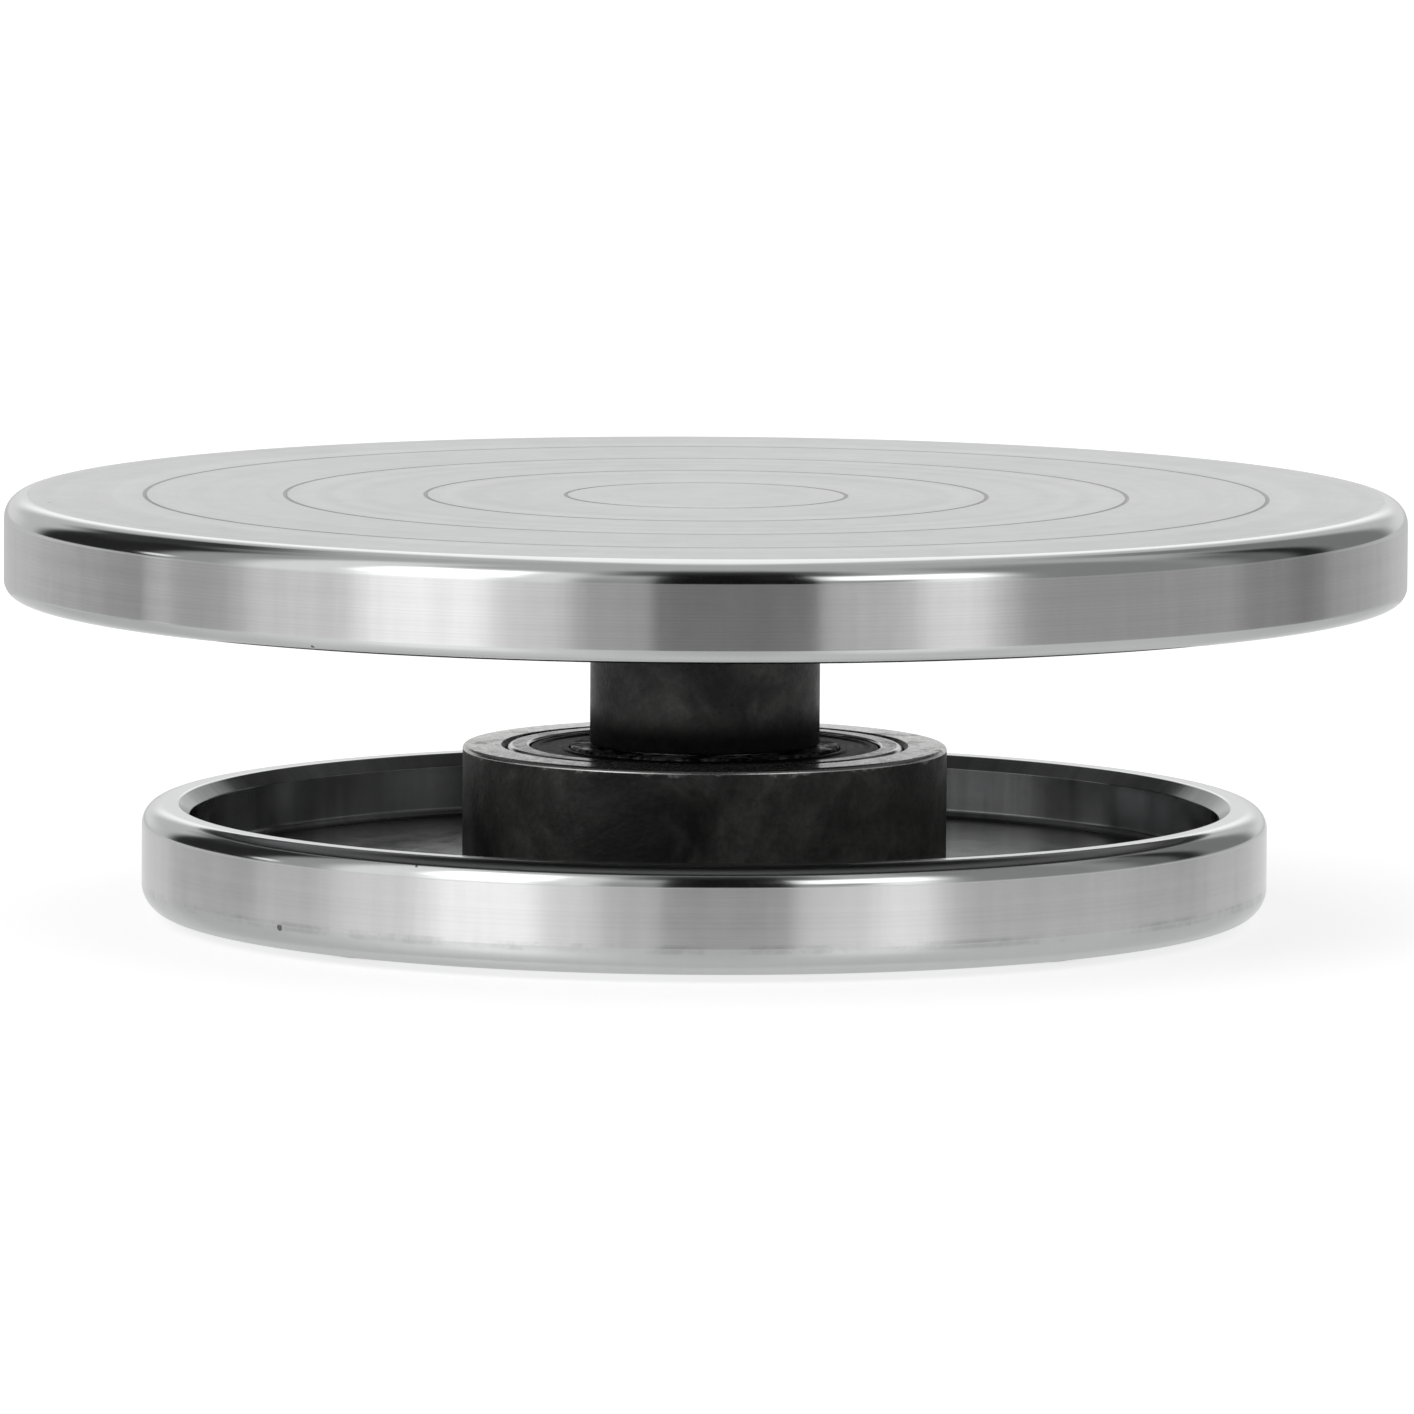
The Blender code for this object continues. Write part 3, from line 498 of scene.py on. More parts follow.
def machined(name, colour, roughness, lines=2500.0, line_show=0.05, band_show=0.04, line_depth=0.00001,
             spread=0.05, cloud_size=0.05, cloud_show=0.04, nick_share=0.15, nick_radius=0.0007,
             nick_spacing=0.02, anisotropy=0.0, stain=(0.20, 0.20, 0.20), streak_show=0.03,
             dark_line_level=None):
    """Bare metal off the lathe: rings of tool marks, faint clouds of handling, a few nicks.

    With anisotropy the marks spread the light across them.
    """
    material, tree, shader = new_surface(name)
    marks = use_group(tree, TURNED_LINES, Lines_Per_Metre=lines)
    clouds = use_group(tree, PATCHES, Size=cloud_size)
    nicks = use_group(tree, NICKS, Spacing=nick_spacing, Radius=nick_radius, Share=nick_share)
    tone = blend(tree, times(tree, marks["Lines"], line_show), shade(colour, 1.0), shade(colour, 0.2))
    tone = blend(tree, times(tree, marks["Bands"], band_show), tone, shade(colour, 0.1))
    tone = blend(tree, times(tree, clouds["Cloud"], cloud_show), tone, (*stain, 1.0))
    tone = blend(tree, times(tree, nicks["Mask"], NICK_STRENGTH), tone, (0.05, 0.05, 0.05, 1.0))
    tone = blend(tree, times(tree, marks["Streaks"], streak_show), tone, shade(colour, 0.1))
    # a broken darker line at one height, used near the base's bottom edge
    if dark_line_level is not None:
        dark_line = use_group(tree, DARK_LINE, Level=dark_line_level)
        tone = blend(tree, times(tree, dark_line["Mask"], DARK_LINE_STRENGTH), tone, (0.12, 0.12, 0.12, 1.0))
    rough = times_plus(tree, marks["Bands"], spread, roughness - spread / 2)
    rough = times_plus(tree, clouds["Mottle"], spread, rough)
    height = times_plus(tree, nicks["Mask"], -0.5, marks["Lines"])
    finish_surface(tree, shader, tone, rough, height, line_depth, 1.0)
    shader["Metallic"].default_value = 1.0
    if anisotropy:
        shader["Anisotropic"].default_value = anisotropy
        shader["Anisotropic Rotation"].default_value = 0.25
        tangent = add(tree, "ShaderNodeTangent", direction_type="RADIAL", axis="Z")
        tree.links.new(tangent.outputs[0], shader["Tangent"])
    return material


def dark_cast(name, colour, lighter, roughness, cloud_size=0.02, cloud_cover=0.45, smear=0.6,
              grain=0.0002, metallic=0.0, gloss=0.5, painted_shade_below=0.0, rubbed_above=0.0):
    """Blackened iron: a rough dark skin with lighter greasy smears and a fine grain.

    Painted shade darkens it from a little above the given lower level downwards, where it is also
    rougher, and the edge above rubbed_above is worn to bare metal in places.
    """
    material, tree, shader = new_surface(name)
    clouds = use_group(tree, PATCHES, Size=cloud_size, Cover=cloud_cover, Softness=0.12)
    fine = use_group(tree, PATCHES, Size=cloud_size / 4, Cover=0.5, Softness=0.2)
    share = times(tree, clouds["Cloud"], times_plus(tree, fine["Cloud"], smear * 0.6, smear * 0.4))
    tone = blend(tree, share, (*colour, 1.0), (*lighter, 1.0))
    tone = blend(tree, times(tree, fine["Mottle"], 0.35), tone, shade(colour, 0.5))
    rough = times_plus(tree, clouds["Mottle"], 0.16, roughness - 0.08)
    rough = times_plus(tree, share, 0.2, rough)
    shader["Specular IOR Level"].default_value = gloss
    shader["Metallic"].default_value = metallic
    level = object_place(tree)[1]["Z"]
    # painted shade: the colour goes near black towards its foot, standing in for shade there; the added
    # roughness is real
    if painted_shade_below:
        painted_shade = ramp(tree, level, painted_shade_below + 0.004, painted_shade_below - 0.003)
        tone = blend(tree, painted_shade, tone, (0.0005, 0.0005, 0.0005, 1.0))
        rough = times_plus(tree, painted_shade, 0.45, rough)
    if rubbed_above:
        reach = times_plus(tree, fine["Cloud"], -0.0016, rubbed_above)
        rubbed = times(tree, ramp(tree, minus(tree, level, reach), 0.0, 0.0009),
                       ramp(tree, clouds["Mottle"], 0.40, 0.70))
        tone = blend(tree, rubbed, tone, (0.36, 0.36, 0.35, 1.0))
        tree.links.new(rubbed, shader["Metallic"])
    finish_surface(tree, shader, tone, rough, fine["Mottle"], grain, 0.5)
    return material


def worn_black(name, bare, black, roughness, cover=0.62, ring_wear=0.7, line_show=0.15, size=0.012,
               gloss=0.4):
    """Blackened face rubbed back to bare steel.

    cover is the share that is bare, and ring_wear thins the black in rings.
    """
    material, tree, shader = new_surface(name)
    marks = use_group(tree, TURNED_LINES, Lines_Per_Metre=1800.0)
    clouds = use_group(tree, PATCHES, Size=size, Cover=1.0 - cover, Softness=0.16)
    thin = times_plus(tree, marks["Bands"], ring_wear, 1.0 - ring_wear)
    left = times(tree, clouds["Cloud"], thin)
    tone = blend(tree, left, (*bare, 1.0), (*black, 1.0))
    tone = blend(tree, times(tree, marks["Lines"], line_show), tone, shade(black, 1.0))
    rough = times_plus(tree, clouds["Mottle"], 0.15, roughness)
    rough = times_plus(tree, left, 0.3, rough)
    height = calc(tree, "ADD", marks["Lines"], clouds["Mottle"])
    finish_surface(tree, shader, tone, rough, height, 0.000008, 0.8)
    tree.links.new(minus(tree, 1.0, left), shader["Metallic"])
    shader["Specular IOR Level"].default_value = gloss
    return material


def rubber(name, colour, dust, roughness, grain=0.0001, gloss=0.5):
    """Moulded rubber with a fine grain and a film of dust."""
    material, tree, shader = new_surface(name)
    shader["Specular IOR Level"].default_value = gloss
    clouds = use_group(tree, PATCHES, Size=0.008, Cover=0.4, Softness=0.25)
    tone = blend(tree, times(tree, clouds["Cloud"], 0.5), (*colour, 1.0), (*dust, 1.0))
    rough = times_plus(tree, clouds["Mottle"], 0.2, roughness - 0.1)
    finish_surface(tree, shader, tone, rough, clouds["Mottle"], grain, 0.5)
    return material


ALUMINIUM = (0.80, 0.81, 0.81)
STEEL = (0.62, 0.62, 0.63)

disc_face = machined(
    "satin_disc_face", (0.62, 0.625, 0.625), 0.30, lines=2200.0, line_show=0.05, band_show=0.06,
    line_depth=0.000004, spread=0.06, cloud_size=0.06, cloud_show=0.07, anisotropy=0.5, nick_share=0.06)
disc_shoulder = machined(
    "polished_shoulder", ALUMINIUM, 0.09, lines=4000.0, line_show=0.02, band_show=0.02,
    line_depth=0.0000006, spread=0.03, cloud_show=0.03, nick_share=0.4, nick_radius=0.0009,
    nick_spacing=0.012)
disc_wall = machined(
    "turned_rim_wall", (0.80, 0.80, 0.80), 0.17, lines=3000.0, line_show=0.08, band_show=0.08,
    line_depth=0.000002, spread=0.03, anisotropy=1.0, nick_share=0.2, streak_show=0.10)
# dark grey underside of the disc: its tone is painted shade, darkened for the shade under the disc
shaded_disc_underside = machined(
    "turned_underside_painted_shade", (0.24, 0.24, 0.245), 0.34, lines=1200.0, line_show=0.10, band_show=0.10,
    line_depth=0.00002, spread=0.08, anisotropy=0.6, cloud_show=0.12)
guide_line = machined("scribed_guide_line", (0.42, 0.42, 0.43), 0.35, lines=5000.0, nick_share=0.0)
dish_wall = machined(
    "turned_dish_wall", (0.88, 0.88, 0.88), 0.17, lines=3000.0, line_show=0.06, band_show=0.06,
    line_depth=0.000002, spread=0.03, anisotropy=1.0, nick_share=0.2, streak_show=0.08,
    dark_line_level=BASE_BOTTOM + 0.0062)
dish_shoulder = machined(
    "polished_dish_shoulder", ALUMINIUM, 0.10, lines=4000.0, line_show=0.02, band_show=0.03,
    line_depth=0.0000008, spread=0.03, cloud_show=0.03, nick_share=0.3, nick_radius=0.0010,
    nick_spacing=0.010, dark_line_level=BASE_BOTTOM + 0.0054)
# the dish's inner wall, bevel and floor are darkened as painted shade for the hollow under the disc
shaded_dish_inside = machined(
    "turned_dish_inside_painted_shade", (0.43, 0.435, 0.44), 0.15, lines=2000.0, line_show=0.10, band_show=0.10,
    line_depth=0.000004, spread=0.06, anisotropy=0.8, cloud_show=0.15, streak_show=0.35)
shaded_dish_floor = machined(
    "turned_dish_floor_painted_shade", (0.09, 0.092, 0.096), 0.16, lines=1600.0, line_show=0.15, band_show=0.20,
    line_depth=0.000006, spread=0.10, anisotropy=0.6, cloud_show=0.15)
dish_underside = machined(
    "turned_dish_underside", (0.66, 0.67, 0.67), 0.36, lines=1100.0, line_show=0.12, band_show=0.12,
    line_depth=0.00002, spread=0.08, anisotropy=0.6, cloud_show=0.18)
# the neck's colour is darkened near its foot above the bearing as painted shade
neck_black = dark_cast(
    "blackened_neck", (0.009, 0.009, 0.009), (0.18, 0.177, 0.171), 0.30, cloud_size=0.022,
    cloud_cover=0.5, smear=0.75, painted_shade_below=BEARING_TOP + 0.006)
housing_black = dark_cast(
    "blackened_housing", (0.012, 0.012, 0.012), (0.18, 0.177, 0.171), 0.38, cloud_size=0.03,
    cloud_cover=0.5, smear=0.75, gloss=0.3, rubbed_above=HOUSING_TOP - 0.0006)
housing_face = worn_black("worn_housing_face", (0.74, 0.74, 0.73), (0.06, 0.06, 0.06), 0.16, cover=0.72)
outer_race_face = worn_black(
    "greased_race_face", (0.40, 0.40, 0.40), (0.04, 0.04, 0.04), 0.18, cover=0.70)
# inner race face: mostly near black with patches of bare steel; its top roundings are dark too
inner_race_face = worn_black(
    "dark_inner_race_face", (0.70, 0.70, 0.70), (0.004, 0.004, 0.004), 0.16, cover=0.42, ring_wear=0.0,
    line_show=0.5, size=0.004, gloss=0.05)
race_steel = machined(
    "ground_race_steel", STEEL, 0.16, lines=5000.0, line_show=0.06, band_show=0.06, line_depth=0.000002,
    spread=0.05, cloud_size=0.01, cloud_show=0.2, anisotropy=0.5)
ball_steel = machined(
    "polished_ball_steel", (0.75, 0.75, 0.76), 0.06, lines=3000.0, line_show=0.02, band_show=0.02,
    line_depth=0.0000002, spread=0.02, cloud_size=0.006, nick_share=0.0)
cage_steel = machined(
    "pressed_cage_steel", (0.50, 0.49, 0.47), 0.36, lines=900.0, line_show=0.12, line_depth=0.00001,
    spread=0.1, cloud_size=0.01, cloud_show=0.3)
zinc = machined(
    "zinc_plated_steel", (0.58, 0.58, 0.56), 0.28, lines=3500.0, line_show=0.10, band_show=0.10,
    line_depth=0.000006, spread=0.1, cloud_size=0.008, cloud_show=0.25, stain=(0.32, 0.29, 0.20))
seal_rubber = rubber(
    "seal_rubber", (0.004, 0.004, 0.004), (0.012, 0.012, 0.012), 0.45, grain=0.00003, gloss=0.2)
foot_rubber = rubber("foot_rubber", (0.016, 0.016, 0.017), (0.06, 0.058, 0.055), 0.78, grain=0.0002)
screw_black = dark_cast(
    "black_oxide_screw", (0.016, 0.016, 0.018), (0.08, 0.07, 0.06), 0.36, cloud_size=0.006,
    grain=0.00004, metallic=0.6)


# -------- turning disc
def make_disc():
    inner = DISC_RADIUS - DISC_RIM_WALL
    plate_bottom = DISC_TOP - DISC_PLATE
    boss = FLANGE_RADIUS + BOSS_MARGIN
    corners = [Corner(0, DISC_TOP)]
    half = GUIDE_LINE_WIDTH / 2
    for ring in range(1, GUIDE_RING_COUNT + 1):
        radius = ring * GUIDE_RING_STEP
        corners.append(Corner(radius - half, DISC_TOP, 0.0001, 3, 4, 4))
        corners.append(Corner(radius, DISC_TOP - GUIDE_LINE_DEPTH, 0.0001, 3, 4, 4))
        corners.append(Corner(radius + half, DISC_TOP, 0.0001, 3, 4, 0))
    corners += [
        Corner(DISC_RADIUS, DISC_TOP, DISC_TOP_ROUND, 16, 1, 2),
        Corner(DISC_RADIUS, DISC_BOTTOM, DISC_BOTTOM_ROUND, 10, 1, 3),
        Corner(inner, DISC_BOTTOM, 0.0008, 4, 3, 3),
        Corner(inner, plate_bottom, 0.004, 8, 3, 3),
        Corner(boss, plate_bottom, 0.001, 4, 3, 3),
        Corner(boss, FLANGE_TOP + GAP, 0.0006, 3, 3, 3),
        Corner(0, FLANGE_TOP + GAP),
    ]
    finishes = [disc_face, disc_shoulder, disc_wall, shaded_disc_underside, guide_line]
    disc = turned("turning_disc_body", corners, finishes, closed=False)
    fit(disc, "turning_disc", "turntable_disc")


# -------- spindle and its fasteners
def make_spindle():
    flange_bottom = FLANGE_TOP - FLANGE_THICKNESS
    neck_bottom = BEARING_TOP + GAP
    shank = BORE_RADIUS - GAP
    corners = [
        Corner(0, FLANGE_TOP, after=1),
        Corner(FLANGE_RADIUS, FLANGE_TOP, 0.0008, 4),
        Corner(FLANGE_RADIUS, flange_bottom, 0.0008, 4),
        Corner(NECK_RADIUS, flange_bottom, NECK_FILLET, 10),
        Corner(NECK_RADIUS, neck_bottom, 0.0006, 4),
        Corner(shank, neck_bottom, after=1),
        Corner(shank, SHANK_BOTTOM, 0.0006, 3, 1, 1),
        Corner(BOLT_HOLE_RADIUS, SHANK_BOTTOM, after=1),
        Corner(BOLT_HOLE_RADIUS, SHANK_BOTTOM + BOLT_HOLE_DEPTH, after=1),
        Corner(0, SHANK_BOTTOM + BOLT_HOLE_DEPTH),
    ]
    spindle = turned("spindle_casting", corners, [neck_black, race_steel], closed=False)
    fit(spindle, "turning_disc", "spindle")


def socket_head_screw(name, node, body):
    """Socket head screw with a knurled head, head down, fitted to the box of its CAD node."""
    low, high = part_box(node)
    head = half_across(node)
    diameter = head / 0.8
    head_top = low.z + diameter
    centre = middle_of(node)
    key = diameter * 0.82 / math.sqrt(3)
    bevel = diameter * 0.08
    corners = [
        Corner(0, high.z),
        Corner(diameter / 2, high.z, bevel, 3),
        Corner(diameter / 2, head_top, 0.0002, 3),
        Corner(head, head_top, 0.0002, 3),
        Corner(head, low.z, bevel, 4),
        Corner(key, low.z, 0.0002, 3),
        Corner(key * 0.97, low.z + diameter * 0.5),
        Corner(0, low.z + diameter * 0.58),
    ]
    screw = turned(name, corners, [screw_black], turns=SMALL_TURNS, closed=False,
                   location=(*centre.xy, 0))
    shape_key_hole(screw, key, head, low.z, diameter)
    fit(screw, body, node)


def shape_key_hole(screw, key, head, low, diameter):
    """Give the turned hole in a screw's head six flats, and the side of the head its knurl."""
    mesh = screw.data
    for vert in mesh.vertices:
        radius = Vector(vert.co.xy).length
        angle = math.atan2(vert.co.y, vert.co.x)
        inside_head = vert.co.z < low + diameter * 0.55
        if inside_head and 1e-6 < radius < key * 1.08:
            sector = (angle + math.pi / 6) % (math.pi / 3) - math.pi / 6
            flat = math.cos(math.pi / 6) / math.cos(sector)
            vert.co.x *= flat
            vert.co.y *= flat
        elif radius > head * 0.985 and low + diameter * 0.15 < vert.co.z < low + diameter * 0.999:
            notch = 0.97 if round(angle / (2 * math.pi) * SMALL_TURNS) % 2 else 1.0
            vert.co.x *= notch
            vert.co.y *= notch
    mesh.update()


def make_screws():
    for number in SET_NUMBERS:
        socket_head_screw(f"disc_fixing_{number}", f"disc_screw_{number}", "turning_disc")
        socket_head_screw(f"housing_fixing_{number}", f"housing_screw_{number}", "base_unit")


# -------- bearing
def make_bearing():
    middle = (BEARING_TOP + BEARING_BOTTOM) / 2
    groove = BALL_RADIUS + GAP
    outer_shoulder = SEAL_RADIUS + GAP
    inner_corners = [
        Corner(INNER_SHOULDER, BEARING_TOP, 0.0006, 4, 1, 1),
        *reversed(groove_corners(INNER_SHOULDER, middle, groove)),
        Corner(INNER_SHOULDER, BEARING_BOTTOM, 0.0006, 4),
        Corner(BORE_RADIUS, BEARING_BOTTOM, 0.0006, 4),
        Corner(BORE_RADIUS, BEARING_TOP, 0.0006, 4, 1, 1),
    ]
    inner = turned("inner_race_ring", inner_corners, [race_steel, inner_race_face])
    fit(inner, "turning_disc", "inner_race")
    outer_corners = [
        Corner(BEARING_RADIUS, BEARING_TOP, RACE_ROUND, 8),
        Corner(BEARING_RADIUS, BEARING_BOTTOM, RACE_ROUND, 8),
        Corner(outer_shoulder, BEARING_BOTTOM, 0.0005, 4),
        *groove_corners(outer_shoulder, middle, groove),
        Corner(outer_shoulder, BEARING_TOP, 0.0005, 4, 0, 1),
    ]
    outer = turned("outer_race_ring", outer_corners, [race_steel, outer_race_face])
    fit(outer, "base_unit", "outer_race")
    for node, side in (("upper_seal", 1), ("lower_seal", -1)):
        make_seal(node, side)
    make_balls()


def groove_corners(shoulder, middle, groove):
    """The round groove that the balls run in, from its lower edge to its upper one."""
    side = 1 if shoulder > BALL_CIRCLE else -1
    edge = math.acos(abs(shoulder - BALL_CIRCLE) / groove)
    corners = []
    for k in range(GROOVE_STEPS + 1):
        angle = edge * (2 * k / GROOVE_STEPS - 1)
        reach = side * groove * math.cos(angle)
        corners.append(Corner(BALL_CIRCLE + reach, middle + groove * math.sin(angle)))
    return corners


def make_seal(node, side):
    """Rubber seal with a raised lip by the inner race and a shallow ring pressed in its face."""
    low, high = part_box(node)
    face, back = (high.z, low.z) if side > 0 else (low.z, high.z)
    lip = INNER_SHOULDER + GAP
    width = SEAL_RADIUS - lip
    sunk = face - side * SEAL_PRESSING
    corners = [
        Corner(SEAL_RADIUS, face, 0.0003, 4),
        Corner(SEAL_RADIUS, back, 0.0002, 3),
        Corner(lip, back, 0.0002, 3),
        Corner(lip, face, 0.0003, 4),
        Corner(lip + width * 0.16, face, 0.0002, 3),
        Corner(lip + width * 0.22, sunk, 0.0003, 4),
        Corner(SEAL_RADIUS - width * 0.24, sunk, 0.0003, 4),
        Corner(SEAL_RADIUS - width * 0.16, face, 0.0002, 3),
    ]
    if side < 0:
        corners = corners[:1] + corners[:0:-1]
    seal = turned(node + "_ring", corners, [seal_rubber])
    fit(seal, "base_unit", node)


def make_balls():
    mesh = bpy.data.meshes.new("ball")
    work = bmesh.new()
    bmesh.ops.create_uvsphere(work, u_segments=TINY_TURNS, v_segments=TINY_TURNS // 2, radius=BALL_RADIUS)
    work.to_mesh(mesh)
    work.free()
    mesh.shade_smooth()
    mesh.materials.append(ball_steel)
    for number in BALL_NUMBERS:
        ball = stand(f"rolling_ball_{number}", mesh, middle_of(f"ball_{number}"))
        fit(ball, f"rolling_ball_{number}", f"ball_{number}")


# -------- housing
def make_housing():
    bore = BEARING_RADIUS + GAP
    ledge = bore - HOUSING_LEDGE
    ledge_top = BEARING_BOTTOM - GAP
    corners = [
        Corner(HOUSING_RADIUS, HOUSING_TOP, 0.0009, 6, 1, 0),
        Corner(HOUSING_RADIUS, HOUSING_BOTTOM, 0.0005, 4),
        Corner(ledge, HOUSING_BOTTOM, 0.0005, 4),
        Corner(ledge, ledge_top, 0.0004, 4),
        Corner(bore, ledge_top),
        Corner(bore, HOUSING_TOP - HOUSING_BEVEL, 0.0003, 3),
        Corner(bore + HOUSING_BEVEL, HOUSING_TOP, 0.0003, 3, 1, 1),
    ]
    housing = turned("bearing_housing_cup", corners, [housing_black, housing_face])
    fit(housing, "base_unit", "bearing_housing")


# -------- base dish
def make_base():
    inner = BASE_RADIUS - BASE_WALL
    floor_top = BASE_BOTTOM + BASE_FLOOR
    flat = BASE_RADIUS - BASE_BOTTOM_ROUND
    corners = [
        Corner(BASE_RADIUS, BASE_TOP, BASE_TOP_ROUND, 16, 1, 0),
        Corner(BASE_RADIUS, BASE_BOTTOM, BASE_BOTTOM_ROUND, 16, 1, None),
        Corner(BASE_ACCESS_RADIUS, BASE_BOTTOM, ACCESS_ROUND, 3, 3, 3),
        Corner(BASE_ACCESS_RADIUS, floor_top, ACCESS_ROUND, 3, 4, 4),
        Corner(inner, floor_top, 0.0018, 8, 2, 2),
        Corner(inner, BASE_TOP - BASE_INNER_BEVEL, 0.0006, 4, 2, 2),
        Corner(inner + BASE_INNER_BEVEL, BASE_TOP, 0.0008, 4, 1, 1),
    ]
    finishes = [dish_wall, dish_shoulder, shaded_dish_inside, dish_underside, shaded_dish_floor]
    body = turned("base_dish_body", corners, finishes)
    fit(body, "base_unit", "base_dish")
    make_underside(flat)


def make_underside(flat):
    """Flat underside with the foot pockets and the sunk holes of the housing screws."""
    pocket = half_across("foot_1") + GAP
    sunk = half_across("housing_screw_1") + GAP
    feet = [middle_of(f"foot_{i}").xy for i in SET_NUMBERS]
    screws = [middle_of(f"housing_screw_{i}").xy for i in SET_NUMBERS]
    holes = [(CENTRE, BASE_ACCESS_RADIUS + ACCESS_ROUND, SMOOTH_TURNS)]
    holes += [(spot, pocket, SMALL_TURNS) for spot in feet]
    holes += [(spot, sunk, SMALL_TURNS) for spot in screws]
    plate = plate_with_holes("base_underside", BASE_BOTTOM, flat, holes, dish_underside)
    fit(plate, "base_unit")
    foot_roof = top_of("foot_1") + GAP
    screw_roof = BASE_BOTTOM + BASE_SCREW_RECESS
    for number, spot in enumerate(feet, start=1):
        make_recess(f"foot_pocket_{number}", spot, pocket, foot_roof)
    for number, spot in enumerate(screws, start=1):
        make_recess(f"screw_recess_{number}", spot, sunk, screw_roof)


def make_recess(name, spot, radius, roof):
    corners = [Corner(radius, BASE_BOTTOM), Corner(radius, roof, 0.0003, 3), Corner(0, roof)]
    recess = turned(name, corners, [dish_underside], turns=SMALL_TURNS, closed=False,
                    location=(*spot, 0))
    fit(recess, "base_unit")


# -------- feet
def make_feet():
    for number in SET_NUMBERS:
        low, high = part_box(f"foot_{number}")
        screw_low, screw_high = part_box(f"foot_screw_{number}")
        centre = (low + high) / 2
        rim = half_across(f"foot_{number}")
        head = half_across(f"foot_screw_{number}")
        pad = [
            Corner(rim, high.z, 0.0003, 3),
            Corner(rim, low.z, 0.0007, 5),
            Corner(head + 0.0012, low.z, 0.0005, 4),
            Corner(head + GAP, low.z + 0.0008, 0.0004, 3),
            Corner(head + GAP, FOOT_SEAT, 0.0002, 3),
            Corner(FOOT_HOLE_RADIUS, FOOT_SEAT, 0.0002, 3),
            Corner(FOOT_HOLE_RADIUS, high.z, 0.0002, 3),
        ]
        foot = turned(f"rubber_foot_{number}", pad, [foot_rubber], turns=SMALL_TURNS,
                      location=(*centre.xy, 0))
        fit(foot, "base_unit", f"foot_{number}")
        make_pan_screw(number, centre, screw_low.z, screw_high.z, head)


def make_pan_screw(number, centre, low, high, head):
    """Pan head screw with a cross slot, head down."""
    seat = low + FOOT_SCREW_HEAD
    corners = [
        Corner(0, high),
        Corner(FOOT_SCREW_RADIUS * 0.8, high, 0.0003, 3),
        Corner(FOOT_SCREW_RADIUS, high - 0.0006, 0.0003, 3),
        Corner(FOOT_SCREW_RADIUS, seat, 0.0002, 3),
        Corner(head, seat, 0.0002, 3),
        Corner(head * 0.97, low + 0.0003, 0.0006, 5),
        Corner(head * 0.7, low, 0.002, 5),
        Corner(0, low),
    ]
    screw = turned(f"foot_fixing_{number}", corners, [zinc], turns=TINY_TURNS, closed=False,
                   location=(*centre.xy, 0))
    cut_cross(screw, head, low)
    fit(screw, "base_unit", f"foot_screw_{number}")


def cut_cross(screw, head, low):
    """Cut the driver's cross into a screw's head."""
    tool = bpy.data.meshes.new("cross_cutter")
    work = bmesh.new()
    for turn in (0, 90):
        size = Matrix.Diagonal((head * 1.15, head * 0.26, DRIVER_CROSS_DEPTH * 2, 1.0))
        spin = Matrix.Rotation(math.radians(turn), 4, "Z")
        bmesh.ops.create_cube(work, size=1.0, matrix=Matrix.Translation((0, 0, low)) @ spin @ size)
    work.to_mesh(tool)
    work.free()
    cutter = stand("cross_cutter", tool, screw.location)
    cut = screw.modifiers.new("cross", "BOOLEAN")
    cut.operation = "DIFFERENCE"
    cut.solver = "EXACT"
    cut.use_self = True
    cut.object = cutter
    mesh = evaluated_mesh(screw)
    screw.modifiers.clear()
    screw.data = mesh
    mesh.shade_smooth()
    mesh.set_sharp_from_angle(angle=SHARP_EDGE)
    bpy.data.objects.remove(cutter, do_unlink=True)


# -------- retaining bolt and washers
def make_retaining_pieces():
    low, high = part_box("retaining_washer")
    washer = [
        Corner(high.x, high.z, 0.0005, 4),
        Corner(high.x, low.z, 0.0005, 4),
        Corner(BOLT_HOLE_RADIUS, low.z, 0.0003, 3),
        Corner(BOLT_HOLE_RADIUS, high.z, 0.0003, 3),
    ]
    piece = turned("retaining_plate", washer, [zinc], turns=SMOOTH_TURNS // 2)
    fit(piece, "turning_disc", "retaining_washer")
    low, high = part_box("retaining_bolt")
    head_top = low.z + BOLT_HEAD_HEIGHT
    corner_radius = BOLT_ACROSS_FLATS / math.sqrt(3)
    head = hex_head("retaining_bolt_head", corner_radius, low.z, head_top, zinc)
    fit(head, "turning_disc", "retaining_bolt")
    root = head_top - 0.001  # the shank starts a little inside the head
    shank = [
        Corner(0, high.z),
        Corner(BOLT_RADIUS, high.z, 0.0009, 3),
        Corner(BOLT_RADIUS, root),
        Corner(0, root),
    ]
    piece = turned("retaining_bolt_shank", shank, [zinc], turns=SMALL_TURNS, closed=False)
    fit(piece, "turning_disc")


def dress_kept_nodes():
    """Finishes for the CAD pieces that are shown as they are."""
    kept = {"lock_washer": zinc, "upper_cage_half": cage_steel, "lower_cage_half": cage_steel}
    for number in BALL_NUMBERS:
        kept[f"cage_rivet_{number}"] = cage_steel
    for node, finish in kept.items():
        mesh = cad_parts[node].data
        mesh.materials.clear()
        mesh.materials.append(finish)


make_disc()
make_spindle()
make_screws()
make_bearing()
make_housing()
make_base()
make_feet()
make_retaining_pieces()
dress_kept_nodes()

